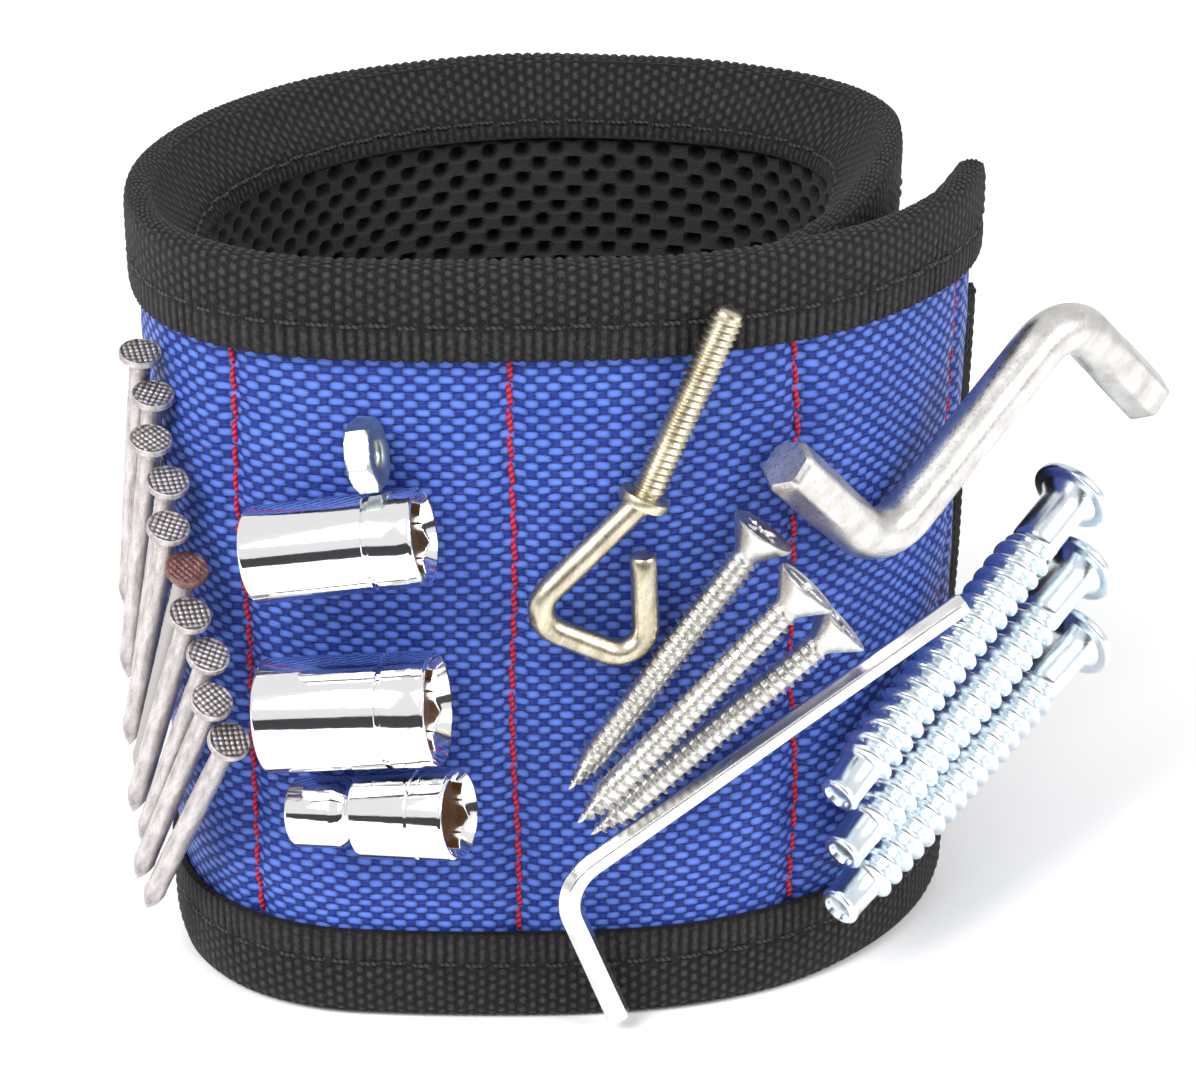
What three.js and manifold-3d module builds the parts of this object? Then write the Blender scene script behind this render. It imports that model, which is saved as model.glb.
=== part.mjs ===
// Magnetic wristband for small hardware: a padded fabric band closed into a loop, with disc
// magnets sewn into pockets, and the nails, sockets, screws and keys that its magnets hold.
// Millimetres, +Z up, the band standing on its lower binding.
import * as THREE from 'three';
import Module from 'manifold-3d';
import { mergeVertices } from 'three/addons/utils/BufferGeometryUtils.js';

const wasm = await Module();
wasm.setup();
const RAD = Math.PI / 180;

// ---- Driving dimensions -------------------------------------------------------------------
const bandHeight = 90;
const wallLean = 2.5;          // the foot of the loop lies this far inside its rim
const tailDip = 5;             // the rim of the tucked tail sinks by this much at its end
const tailDipFrom = 238;       // where along the band the tail starts to sink

// The loop in plan, from the end of the outer flap, round the front, the wearer's side and the
// back, to the tail tucked behind the flap: a start, then arcs of [length, turn in degrees].
const loopStart = { x: 43.5, y: 36.5, heading: -100 };
const loopArcs = [
  [27, -36.5], [27, -37.5], [30, -11.5], [26, -66.5], [27.5, -33.5], [25.5, -29],
  [26, -36], [33, -39.5], [24, -62], [26, -30], [22, -26],
];
const stationPitch = 5;
const loopLength = loopArcs.reduce((sum, arc) => sum + arc[0], 0);

// Layers through the band, measured outwards from the middle of its thickness.
const layer = {
  shell: [2.2, 3.0],
  core: [-1.1, 1.9],
  lining: [-3.0, -1.4],
  binding: [3.3, 4.1],
  loopTape: [3.3, 4.1],
  hookTape: [4.4, 5.2],
  strap: [5.5, 6.7],
};
const bindingDepth = 11;       // how far each binding reaches down a face
const bindingThickness = layer.binding[1] - layer.binding[0];
const bindingGap = 0.3;
const layerFoot = bindingThickness + bindingGap;
const layerTop = bandHeight - layerFoot;

// Pocket seams and the magnets between them.
const firstSeam = 7;
const pocketPitch = 29.5;
const pocketCount = 5;
const magnetHeights = [22, 45, 68];
const magnetRadius = 7;
const magnetThickness = 1.2;
const magnetDepth = -0.2;
const magnetClearance = 0.3;

// Closure strap.
const strapFoot = 20;
const strapTop = 70;
const strapFarEnd = 196;       // place along the band where the strap's free end lies

// ---- Walking along the loop ---------------------------------------------------------------
function walk(start, arcs, distance) {
  let { x, y } = start;
  let heading = start.heading * RAD;
  let left = distance;
  arcs.forEach(([length, turn], index) => {
    const isEnd = index === arcs.length - 1;
    const step = isEnd ? left : Math.min(Math.max(left, 0), length);
    const bend = (turn * RAD) / length;
    x += (Math.sin(heading + bend * step) - Math.sin(heading)) / bend;
    y -= (Math.cos(heading + bend * step) - Math.cos(heading)) / bend;
    heading += bend * step;
    left -= step;
  });
  return { x, y, heading };
}

function smooth(t) {
  const u = Math.min(Math.max(t, 0), 1);
  return u * u * (3 - 2 * u);
}

// A point of the band: along the loop, out from mid-thickness, and up.
function bandPoint(along, out, up) {
  const { x, y, heading } = walk(loopStart, loopArcs, along);
  const reach = out - wallLean * (1 - up / bandHeight);
  const sink = tailDip * smooth((along - tailDipFrom) / (loopLength - tailDipFrom));
  return new THREE.Vector3(
    x - reach * Math.sin(heading),
    y + reach * Math.cos(heading),
    up * (1 - sink / bandHeight),
  );
}

// ---- Solids -------------------------------------------------------------------------------
// Merged, closed, and turned to face outwards.
function tidy(geometry) {
  const bare = geometry.clone();
  bare.deleteAttribute('normal');
  bare.deleteAttribute('uv');
  const merged = mergeVertices(bare, 1e-4);
  const position = merged.getAttribute('position');
  const index = merged.getIndex().array;
  const corners = [0, 1, 2].map(() => new THREE.Vector3());
  const kept = [];
  let volume = 0;
  for (let i = 0; i < index.length; i += 3) {
    const [a, b, c] = [index[i], index[i + 1], index[i + 2]];
    if (a !== b && b !== c && c !== a) {
      kept.push(a, b, c);
      corners.forEach((corner, k) => corner.fromBufferAttribute(position, index[i + k]));
      volume += corners[0].dot(corners[1].cross(corners[2]));
    }
  }
  merged.setIndex(volume < 0 ? kept.reverse() : kept);
  merged.computeVertexNormals();
  return merged;
}

function toManifold(geometry) {
  const solid = tidy(geometry);
  return new wasm.Manifold(new wasm.Mesh({
    numProp: 3,
    vertProperties: new Float32Array(solid.getAttribute('position').array),
    triVerts: new Uint32Array(solid.getIndex().array),
  }));
}

function fromManifold(solid) {
  const mesh = solid.getMesh();
  const geometry = new THREE.BufferGeometry();
  geometry.setAttribute('position', new THREE.BufferAttribute(mesh.vertProperties, 3));
  geometry.setIndex(new THREE.BufferAttribute(mesh.triVerts, 1));
  return tidy(geometry);
}

function cut(body, ...tools) {
  const start = toManifold(body);
  return fromManifold(tools.reduce((solid, tool) => solid.subtract(toManifold(tool)), start));
}

function join(...pieces) {
  return fromManifold(pieces.map(toManifold).reduce((sum, piece) => sum.add(piece)));
}

// A closed outline carried through a row of stations; place(point, station) gives each corner.
function loft(outline, stations, place) {
  const vertices = [];
  stations.forEach((station) => outline.forEach((point) => {
    vertices.push(...place(point, station).toArray());
  }));
  const count = outline.length;
  const triangles = [];
  for (let row = 0; row < stations.length - 1; row += 1) {
    for (let k = 0; k < count; k += 1) {
      const a = row * count + k;
      const b = row * count + ((k + 1) % count);
      triangles.push(a, b, b + count, a, b + count, a + count);
    }
  }
  const flat = outline.map(([u, v]) => new THREE.Vector2(u, v));
  const clockwise = THREE.ShapeUtils.isClockWise(flat);
  const last = (stations.length - 1) * count;
  THREE.ShapeUtils.triangulateShape(flat, []).forEach(([a, b, c]) => {
    const [p, q] = clockwise ? [c, a] : [a, c];
    triangles.push(q, b, p, last + p, last + b, last + q);
  });
  const geometry = new THREE.BufferGeometry();
  geometry.setAttribute('position', new THREE.Float32BufferAttribute(vertices, 3));
  geometry.setIndex(triangles);
  return tidy(geometry);
}

function spread(from, to, count) {
  return Array.from({ length: count + 1 }, (_, i) => from + ((to - from) * i) / count);
}

// A section of [out, up] points carried along the band. Every layer has its stations at the
// same places, so that no two layers cut each other's corners.
function alongBand(section, from, to) {
  const stations = [from];
  const first = Math.floor(from / stationPitch) + 1;
  for (let at = first * stationPitch; at < to - 0.1; at += stationPitch) {
    stations.push(at);
  }
  stations.push(to);
  return loft(section, stations, ([out, up], along) => bandPoint(along, out, up));
}

function rectangle([low, high], foot, top) {
  return [[low, foot], [high, foot], [high, top], [low, top]];
}

// A solid of revolution about X, from [x, radius] points.
function turned(profile, sides = 12) {
  const points = profile.map(([x, radius]) => new THREE.Vector2(radius, x));
  return new THREE.LatheGeometry(points, sides).rotateZ(-90 * RAD);
}

// A prism about X with flats facing up and down.
function prism(sides, acrossFlats, from, to) {
  const radius = acrossFlats / 2 / Math.cos(Math.PI / sides);
  const solid = new THREE.CylinderGeometry(radius, radius, to - from, sides);
  solid.rotateY((180 / sides) * RAD);
  return solid.rotateZ(-90 * RAD).translate((from + to) / 2, 0, 0);
}

// A bar bent in its own plane: straight between the corners, with a round bend at each.
function bentPath(corners, bendRadius, bendSteps = 5) {
  const points = corners.map(([x, y]) => new THREE.Vector2(x, y));
  const stations = [];
  const add = (point, direction) => stations.push({ point, direction });
  points.forEach((corner, i) => {
    const before = points[i - 1];
    const after = points[i + 1];
    const into = before && corner.clone().sub(before).normalize();
    const outOf = after && after.clone().sub(corner).normalize();
    if (!before || !after) {
      add(corner, into ?? outOf);
      return;
    }
    const turn = Math.atan2(into.cross(outOf), into.dot(outOf));
    const setback = bendRadius * Math.tan(Math.abs(turn) / 2);
    const side = new THREE.Vector2(-into.y, into.x).multiplyScalar(Math.sign(turn));
    const centre = corner.clone().addScaledVector(into, -setback);
    centre.addScaledVector(side, bendRadius);
    spread(0, turn, bendSteps).forEach((angle) => {
      const direction = into.clone().rotateAround(new THREE.Vector2(), angle);
      const spoke = side.clone().rotateAround(new THREE.Vector2(), angle);
      add(centre.clone().addScaledVector(spoke, -bendRadius), direction);
    });
  });
  return stations;
}

function bentBar(corners, bendRadius, sides, acrossFlats) {
  const radius = acrossFlats / 2 / Math.cos(Math.PI / sides);
  const section = spread(0, 2 * Math.PI, sides).slice(0, -1).map((angle) => {
    const turnedBy = angle + Math.PI / sides;
    return [radius * Math.cos(turnedBy), radius * Math.sin(turnedBy)];
  });
  const place = ([side, lift], { point, direction }) => new THREE.Vector3(
    point.x - direction.y * side,
    point.y + direction.x * side,
    lift,
  );
  return loft(section, bentPath(corners, bendRadius), place);
}

// ---- Materials ----------------------------------------------------------------------------
function finish(color, roughness, metalness) {
  return () => new THREE.MeshStandardMaterial({ color, roughness, metalness });
}

const blueCloth = finish(0x2748a8, 0.7, 0);
const blackWebbing = finish(0x2c2a29, 0.85, 0);
const blackMesh = finish(0x262625, 0.9, 0);
const blackTape = finish(0x1a1a1a, 0.95, 0);
const paleFoam = finish(0xd8d6cf, 0.9, 0);
const redThread = finish(0xb3203c, 0.6, 0);
const magnetPlating = finish(0xb8bcc0, 0.3, 1);
const dullSteel = finish(0x9a9590, 0.55, 1);
const chromePlate = finish(0xe6e8ea, 0.08, 1);
const yellowZinc = finish(0xb9b096, 0.35, 1);
const whiteZinc = finish(0xc9cdd0, 0.35, 1);

// ---- The tree -----------------------------------------------------------------------------
const group = new THREE.Group();
const assembly = new THREE.Group();
group.add(assembly);

function add(name, geometry, material, parent = assembly) {
  const mesh = new THREE.Mesh(tidy(geometry), material());
  mesh.name = name;
  parent.add(mesh);
  return mesh;
}

// ---- The band -----------------------------------------------------------------------------
const seamPlaces = spread(firstSeam, firstSeam + pocketCount * pocketPitch, pocketCount);
const pocketMiddles = seamPlaces.slice(0, -1).map((seam) => seam + pocketPitch / 2);
const magnetPlaces = pocketMiddles.flatMap((along) => magnetHeights.map((up) => ({ along, up })));

// A disc lying in the band's thickness.
function disc({ along, up }, radius, thickness) {
  const { heading } = walk(loopStart, loopArcs, along);
  const centre = bandPoint(along, magnetDepth, up);
  const solid = new THREE.CylinderGeometry(radius, radius, thickness, 16);
  return solid.rotateZ(heading).translate(centre.x, centre.y, centre.z);
}

function addLayers() {
  add('outer_shell', alongBand(rectangle(layer.shell, layerFoot, layerTop), 0, loopLength), blueCloth);
  const core = alongBand(rectangle(layer.core, layerFoot + 1, layerTop - 1), 1, loopLength - 1);
  const windowDepth = 12;
  const windows = magnetPlaces.map((place) => (
    disc(place, magnetRadius + magnetClearance, windowDepth)
  ));
  add('padding_core', cut(core, ...windows), paleFoam);
  add('mesh_lining', alongBand(rectangle(layer.lining, layerFoot, layerTop), 0, loopLength), blackMesh);
}

function addMagnets() {
  magnetPlaces.forEach((place, i) => {
    add(`disc_magnet_${i + 1}`, disc(place, magnetRadius, magnetThickness), magnetPlating);
  });
}

// A folded tape: both legs and the rounded fold, as an outline of [out, distance from the edge].
function bindingSection() {
  const [inner, outer] = layer.binding;
  const round = 1.4;
  return [
    [outer, bindingDepth], [outer, round], [outer - round * 0.3, round * 0.3], [outer - round, 0],
    [round - outer, 0], [round * 0.3 - outer, round * 0.3], [-outer, round], [-outer, bindingDepth],
    [-inner, bindingDepth], [-inner, bindingThickness], [inner, bindingThickness], [inner, bindingDepth],
  ];
}

function addBindings() {
  const top = bindingSection().map(([out, depth]) => [out, bandHeight - depth]);
  add('top_binding', alongBand(top, 0, loopLength + 1), blackWebbing);
  add('bottom_binding', alongBand(bindingSection(), 0, loopLength + 1), blackWebbing);
  const [inner, outer] = layer.binding;
  const reach = loopLength - 10;
  const end = loopLength + 1.1;
  const legs = [
    [reach, outer], [reach + 5, outer], [end, outer], [end, -outer], [reach + 5, -outer], [reach, -outer],
    [reach, -inner], [reach + 5, -inner], [end - 0.8, -inner], [end - 0.8, inner],
    [reach + 5, inner], [reach, inner],
  ];
  const clear = bindingDepth + 0.4;
  const place = ([along, out], up) => bandPoint(along, out, up);
  add('tail_end_binding', loft(legs, [clear, bandHeight - clear], place), blackWebbing);
}

function addSeams() {
  const threadOut = [3.1, 3.5];
  const threadWidth = 0.6;
  const foot = bindingDepth + 0.5;
  const section = rectangle(threadOut, foot, bandHeight - foot);
  seamPlaces.forEach((seam, i) => {
    const strip = alongBand(section, seam - threadWidth / 2, seam + threadWidth / 2);
    add(`pocket_seam_${i + 1}`, strip, redThread);
  });
}

// ---- The closure strap --------------------------------------------------------------------
// In plan it is sewn inside the flap, swings out past the flap's end, and lies round the back.
const strapSewnOut = -4.0;
const strapSewnEnd = 9;        // the sewn end's length, up to the line that the strap bends on
const strapGap = 1.8;          // room for the strap to bend
const strapMiddle = (layer.strap[0] + layer.strap[1]) / 2;
const strapRoute = new THREE.CatmullRomCurve3([
  ...[9, 3].map((along) => bandPoint(along, strapSewnOut, bandHeight)),
  new THREE.Vector3(40, 38.8, bandHeight),
  new THREE.Vector3(45.2, 43.3, bandHeight),
  new THREE.Vector3(48.2, 50.2, bandHeight),
  ...[241, 234, 227, 219, 211, 203, strapFarEnd].map((along) => (
    bandPoint(along, strapMiddle, bandHeight)
  )),
], false, 'centripetal');
const strapLength = strapRoute.getLength();

function strapPoint(distance, out, up) {
  const t = distance / strapLength;
  const centre = strapRoute.getPointAt(t);
  const direction = strapRoute.getTangentAt(t);
  const reach = out - wallLean * (1 - up / bandHeight);
  return new THREE.Vector3(centre.x + reach * direction.y, centre.y - reach * direction.x, up);
}

function addStrap() {
  const half = (layer.strap[1] - layer.strap[0]) / 2;
  const section = rectangle([-half, half], strapFoot, strapTop);
  const place = ([out, up], distance) => strapPoint(distance, out, up);
  add('strap_anchor', loft(section, spread(0.5, strapSewnEnd, 3), place), blackWebbing);
  const freeStations = spread(strapSewnEnd + strapGap, strapLength, 22);
  add('closure_strap', loft(section, freeStations, place), blackWebbing);
  const hookMargin = 2;
  const hooks = rectangle(layer.hookTape, strapFoot + hookMargin, strapTop - hookMargin);
  add('hook_tape', alongBand(hooks, strapFarEnd + hookMargin, 232), blackTape);
  const patchMargin = 3;
  const loops = rectangle(layer.loopTape, strapFoot - patchMargin, strapTop + patchMargin);
  add('loop_patch', alongBand(loops, 160, 240), blackTape);
}

// ---- What the magnets hold ----------------------------------------------------------------
// A frame on the band's outer face: X to the right seen from outside, Y up the wall, Z outwards.
function onBand({ at, right = 0, up, off, turn, tilt = 0 }) {
  const { heading } = walk(loopStart, loopArcs, at);
  const lean = Math.atan(wallLean / bandHeight);
  const outward = new THREE.Vector3(-Math.sin(heading), Math.cos(heading), 0);
  const along = new THREE.Vector3(-Math.cos(heading), -Math.sin(heading), 0);
  const rise = new THREE.Vector3(0, 0, Math.cos(lean)).addScaledVector(outward, Math.sin(lean));
  const normal = along.clone().cross(rise);
  const frame = new THREE.Group();
  frame.position.copy(bandPoint(at, layer.shell[1], 0));
  frame.position.addScaledVector(along, right);
  frame.position.addScaledVector(rise, up);
  frame.position.addScaledVector(normal, off);
  const basis = new THREE.Matrix4().makeBasis(along, rise, normal);
  frame.quaternion.setFromRotationMatrix(basis);
  frame.rotateZ(turn * RAD);
  frame.rotateY(tilt * RAD);
  assembly.add(frame);
  return frame;
}

// Nails fan out from the near corner in two layers, head first, the tips drawing together.
const nailCount = 10;
const nailLength = 37;

function addNails() {
  const [shank, head] = [1.2, 2.35];
  const half = nailLength / 2;
  const profile = [
    [-half, 0], [-half, head], [-half + 0.7, head], [-half + 1.4, shank],
    [half - 3.5, shank], [half - 0.2, 0.25], [half, 0],
  ];
  for (let i = 0; i < nailCount; i += 1) {
    const layerOff = i % 2 === 0 ? 3 : 2;
    const frame = onBand({
      at: 111 - 1.8 * i + 0.05 * i * i,
      up: 58 - 3.7 * i - 0.02 * i * i,
      off: layerOff + 0.5 * i,
      turn: -108 - 2.4 * i + 0.05 * i * i,
      tilt: i - 3,
    });
    add(`nail_${i + 1}`, turned(profile, 10), dullSteel, frame);
  }
}

// Sockets: hexagonal mouth to the right, square drive to the left.
function socketBody(profile, length, driveFlats, mouthFlats) {
  const half = length / 2;
  const driveDepth = 7;
  const mouthDepth = 9;
  const drive = prism(4, driveFlats, -half - 1, -half + driveDepth);
  const mouth = prism(6, mouthFlats, half - mouthDepth, half + 1);
  return cut(turned(profile, 24), drive, mouth);
}

function plainSocket(length, radius, driveFlats, mouthFlats) {
  const half = length / 2;
  const [bevel, groove] = [0.6, 0.35];
  const grooveAt = half - 5;
  return socketBody([
    [-half, 0], [-half, radius - bevel], [-half + bevel, radius],
    [grooveAt - 0.8, radius], [grooveAt - 0.4, radius - groove],
    [grooveAt + 0.4, radius - groove], [grooveAt + 0.8, radius],
    [half - bevel, radius], [half, radius - bevel], [half, 0],
  ], length, driveFlats, mouthFlats);
}

function steppedSocket(length, radius, neckRadius, driveFlats, mouthFlats) {
  const half = length / 2;
  const bevel = 0.6;
  const step = -half + length * 0.38;
  return socketBody([
    [-half, 0], [-half, neckRadius - bevel], [-half + bevel, neckRadius],
    [step - 2, neckRadius], [step - 1.2, neckRadius - 0.6], [step, neckRadius - 0.6],
    [step + 1, radius], [half - bevel, radius], [half, radius - bevel], [half, 0],
  ], length, driveFlats, mouthFlats);
}

function addSockets() {
  const first = onBand({ at: 86, right: 3.3, up: 60.3, off: 6, turn: 11.2 });
  add('socket_1', plainSocket(19, 5.2, 6.35, 7), chromePlate, first);
  const second = onBand({ at: 86, right: 4.5, up: 41.5, off: 7.1, turn: 7.6 });
  add('socket_2', plainSocket(19, 6.2, 6.35, 8), chromePlate, second);
  const third = onBand({ at: 90, right: 12.1, up: 29.2, off: 4.7, turn: 9 });
  add('socket_3', steppedSocket(19.3, 5, 3.9, 4.4, 6.6), chromePlate, third);
}

function addNut() {
  const [flats, thickness, bore] = [7, 2.8, 3.4];
  const frame = onBand({ at: 86, right: 6.2, up: 70, off: 4, turn: 11.2 });
  const body = prism(6, flats, -thickness / 2, thickness / 2).rotateX(30 * RAD);
  const hole = turned([[-thickness, 0], [-thickness, bore / 2], [thickness, bore / 2], [thickness, 0]]);
  add('hex_nut', cut(body, hole), whiteZinc, frame);
}

// Hook bolt: a threaded stem with a collar, the rod beyond it bent into an open triangle.
function addHookBolt() {
  const [stem, threadRadius, rod] = [22.6, 1.75, 2.9];
  const [collarRadius, collarHalf] = [2.8, 0.6];
  const frame = onBand({ at: 52, right: -0.9, up: 64.2, off: 3.1, turn: 66.7 });
  const thread = turned([
    [-collarHalf, 0], [-collarHalf, collarRadius], [collarHalf, collarRadius],
    [collarHalf, threadRadius], [stem - 0.6, threadRadius], [stem, threadRadius - 0.6], [stem, 0],
  ], 12);
  const corners = [[1, 0], [-17, 6.9], [-17.8, -8.3], [-6, -2.5]];
  add('hook_bolt', join(thread, bentBar(corners, 3, 10, rod)), yellowZinc, frame);
}

// Countersunk screws: the middle one rides on the other two.
const woodScrewLength = 36;

function addWoodScrews() {
  const [head, thread, half] = [3.7, 1.9, woodScrewLength / 2];
  const profile = [
    [-half, 0], [-half, head], [-half + 0.5, head], [-half + 3, thread - 0.4], [-half + 5, thread],
    [half - 4, thread], [half - 0.3, 0.3], [half, 0],
  ];
  const places = [
    { right: -0.9, up: 45.6, off: 4.2, turn: -125.2 },
    { right: 1.2, up: 42, off: 8, turn: -132.8 },
    { right: 4.8, up: 36.9, off: 4.2, turn: -139 },
  ];
  places.forEach((place, i) => {
    const frame = onBand({ at: 50, tilt: 2, ...place });
    add(`wood_screw_${i + 1}`, turned(profile, 12), whiteZinc, frame);
  });
}

// Panel connector screws: a flat head, a plain shoulder, a coarse thread and a dog point.
const panelScrewLength = 50;

function addPanelScrews() {
  const [head, shoulder, thread, dog, half] = [4.8, 2.8, 3.05, 1.9, panelScrewLength / 2];
  const profile = [
    [-half, 0], [-half, head], [-half + 1.4, head], [-half + 3, shoulder], [-half + 9, shoulder],
    [-half + 9.6, thread], [half - 3.6, thread], [half - 3, dog], [half - 0.5, dog], [half, dog - 0.5],
    [half, 0],
  ];
  const places = [
    { right: 8.2, up: 38.3, turn: -152.8 },
    { right: 10.1, up: 29.5, turn: -155.8 },
    { right: 10.5, up: 21.2, turn: -159.5 },
  ];
  places.forEach((place, i) => {
    const frame = onBand({ at: 22, off: 5.1, ...place });
    add(`panel_screw_${i + 1}`, turned(profile, 12), whiteZinc, frame);
  });
}

// Bent hexagon keys.
function addKeys() {
  const [bar, arm, barFlats, slant] = [34.5, 20, 5.6, 81.7];
  const [dx, dy] = [arm * Math.cos(slant * RAD), arm * Math.sin(slant * RAD)];
  const zFrame = onBand({ at: 30, right: 16.8, up: 64.3, off: 3.4, turn: 38.6 });
  const zCorners = [[-bar / 2 - dx, dy], [-bar / 2, 0], [bar / 2, 0], [bar / 2 + dx, -dy]];
  add('z_hex_key', bentBar(zCorners, 6, 6, barFlats), whiteZinc, zFrame);
  const [longArm, shortArm, keyFlats, corner] = [54.4, 19, 2.5, 98];
  const lFrame = onBand({ at: 44, right: -19.2, up: 19.5, off: 2.4, turn: 30.1 });
  const lCorners = [
    [longArm, 0], [0, 0],
    [shortArm * Math.cos(corner * RAD), -shortArm * Math.sin(corner * RAD)],
  ];
  add('l_hex_key', bentBar(lCorners, 5, 6, keyFlats), whiteZinc, lFrame);
}

addLayers();
addMagnets();
addBindings();
addSeams();
addStrap();
addNails();
addSockets();
addNut();
addHookBolt();
addWoodScrews();
addPanelScrews();
addKeys();

// The origin: under the middle of everything, on the surface that the band stands on.
assembly.updateMatrixWorld(true);
const extent = new THREE.Box3().setFromObject(assembly, true);
const middle = extent.getCenter(new THREE.Vector3());
assembly.position.set(-middle.x, -middle.y, -extent.min.z);

export default group;
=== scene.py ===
"""The looks of a magnetic wristband for small hardware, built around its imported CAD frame.

Places and sizes are millimetres in the design's own coordinates. "along" runs round the loop
from the end of the outer flap, "out" is measured from the middle of the band's thickness, and
"up" is the height. Meshes are made in metres in the row frame.
"""
from math import atan, atan2, ceil, copysign, cos, dist, hypot, pi, radians, sin, tan

import bmesh
import bpy
import numpy as np
from mathutils import Matrix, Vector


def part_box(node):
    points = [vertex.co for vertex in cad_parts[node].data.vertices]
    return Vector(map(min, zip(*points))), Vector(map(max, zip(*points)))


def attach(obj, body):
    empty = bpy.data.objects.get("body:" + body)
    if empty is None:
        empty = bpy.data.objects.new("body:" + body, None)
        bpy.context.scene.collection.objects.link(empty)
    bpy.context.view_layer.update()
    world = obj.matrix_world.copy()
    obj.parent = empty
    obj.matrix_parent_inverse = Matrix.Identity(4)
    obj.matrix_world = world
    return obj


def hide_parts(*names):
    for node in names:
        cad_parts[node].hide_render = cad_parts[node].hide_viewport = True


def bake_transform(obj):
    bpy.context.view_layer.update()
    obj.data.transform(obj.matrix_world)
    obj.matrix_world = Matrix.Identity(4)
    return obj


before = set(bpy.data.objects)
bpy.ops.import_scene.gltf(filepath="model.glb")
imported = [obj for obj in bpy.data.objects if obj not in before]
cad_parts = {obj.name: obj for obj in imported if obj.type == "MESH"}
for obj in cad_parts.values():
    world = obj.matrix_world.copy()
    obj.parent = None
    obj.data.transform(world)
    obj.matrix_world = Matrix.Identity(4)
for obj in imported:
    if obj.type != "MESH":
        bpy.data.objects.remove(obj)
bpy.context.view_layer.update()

MM = 0.001
TURN = 2 * pi

# ---- Driving dimensions
BAND_HEIGHT = 90
WALL_LEAN = 2.5
TAIL_DIP = 5
TAIL_DIP_FROM = 238
LOOP_START = (43.5, 36.5, -100)
LOOP_ARCS = [
    (27, -36.5), (27, -37.5), (30, -11.5), (26, -66.5), (27.5, -33.5), (25.5, -29),
    (26, -36), (33, -39.5), (24, -62), (26, -30), (22, -26),
]
LOOP_LENGTH = sum(length for length, turn in LOOP_ARCS)
STATION_PITCH = 5
SHELL = (2.2, 3.0)
CORE = (-1.1, 1.9)
LINING = (-3.0, -1.4)
BINDING = (3.3, 4.1)
HOOK_TAPE = (4.4, 5.2)
STRAP = (5.5, 6.7)
BINDING_DEPTH = 11            # of a binding's outer leg
INNER_LEG = 9                 # of its inner leg
FOLD_DEPTH = 3.0              # of the rounded part of a folded tape
LAYER_FOOT = 1.1
RIM_THICKNESS = 0.4           # thickness of the bound edges, as a share of the band's
RIM_REACH = 9                 # over which an edge thins to that
FIRST_SEAM, POCKET_WIDTH = 7, 29.5
SEAMS = [FIRST_SEAM + POCKET_WIDTH * k for k in range(6)]
SEAM_SLANT = (3.4, 3.0, 0, 0, 0, 0)
STRAP_FOOT, STRAP_TOP = 20, 70
STRAP_FAR_END = 196
HEM = 12                      # of the strap, folded back at its free end
LOOP_PATCH = (160, 240)
MAGNET_COUNT = 15
NAIL_COUNT = 10
RUSTY_NAIL = 6
SHARP_EDGE = 42               # degrees from which an edge is shaded sharp

# Camera, in the design's coordinates.
CAMERA_AT = (3.9, -373.1, 210.5)
CAMERA_PITCH = 22.2
CAMERA_LENS = 113.8
SENSOR_WIDTH = 36


# ---- The loop
def smooth(t):
    t = np.clip(t, 0, 1)
    return t * t * (3 - 2 * t)


def loop_frames(along):
    """The centreline's x and y, and its heading, at each distance along the loop."""
    along = np.asarray(along, float)
    x, y, heading = LOOP_START[0], LOOP_START[1], radians(LOOP_START[2])
    found = np.zeros((3,) + along.shape)
    done = 0
    for length, turn in LOOP_ARCS:
        bend = radians(turn) / length
        here = along >= done
        angle = heading + bend * (along - done)
        found[0] = np.where(here, x + (np.sin(angle) - sin(heading)) / bend, found[0])
        found[1] = np.where(here, y - (np.cos(angle) - cos(heading)) / bend, found[1])
        found[2] = np.where(here, angle, found[2])
        ahead = heading + radians(turn)
        x += (sin(ahead) - sin(heading)) / bend
        y -= (cos(ahead) - cos(heading)) / bend
        heading = ahead
        done += length
    return found


def design_points(along, out, up):
    """Points of the band in the design's coordinates."""
    x, y, heading = loop_frames(along)
    reach = out - WALL_LEAN * (1 - up / BAND_HEIGHT)
    sink = TAIL_DIP * smooth((along - TAIL_DIP_FROM) / (LOOP_LENGTH - TAIL_DIP_FROM))
    height = up * (1 - sink / BAND_HEIGHT)
    parts = (x - reach * np.sin(heading), y + reach * np.cos(heading), height)
    return np.stack(np.broadcast_arrays(*parts), -1)


def design_shift():
    """From the design's coordinates to the row frame: where the CAD has the shell's corners."""
    stations = np.append(np.arange(0, LOOP_LENGTH, STATION_PITCH), LOOP_LENGTH)
    corners = [
        design_points(stations, out, up)
        for out in SHELL for up in (LAYER_FOOT, BAND_HEIGHT - LAYER_FOOT)
    ]
    lowest = np.concatenate(corners).min(0)
    shift = np.array(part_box("outer_shell")[0]) / MM - lowest
    shift[2] = 0
    return shift


SHIFT = design_shift()


def band_points(along, out, up):
    return design_points(along, out, up) + SHIFT


def ripple(u, v, length, seed):
    """Smooth unevenness from about -1 to 1: six crossed waves of about this length."""
    waves = np.random.default_rng(seed).uniform(0, TURN, (6, 2))
    total = 0
    for k, (direction, phase) in enumerate(waves):
        rate = TURN / (length * (0.7 + 0.12 * k))
        total = total + np.sin(rate * (u * cos(direction) + v * sin(direction)) + phase)
    return total / 3.4


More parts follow.
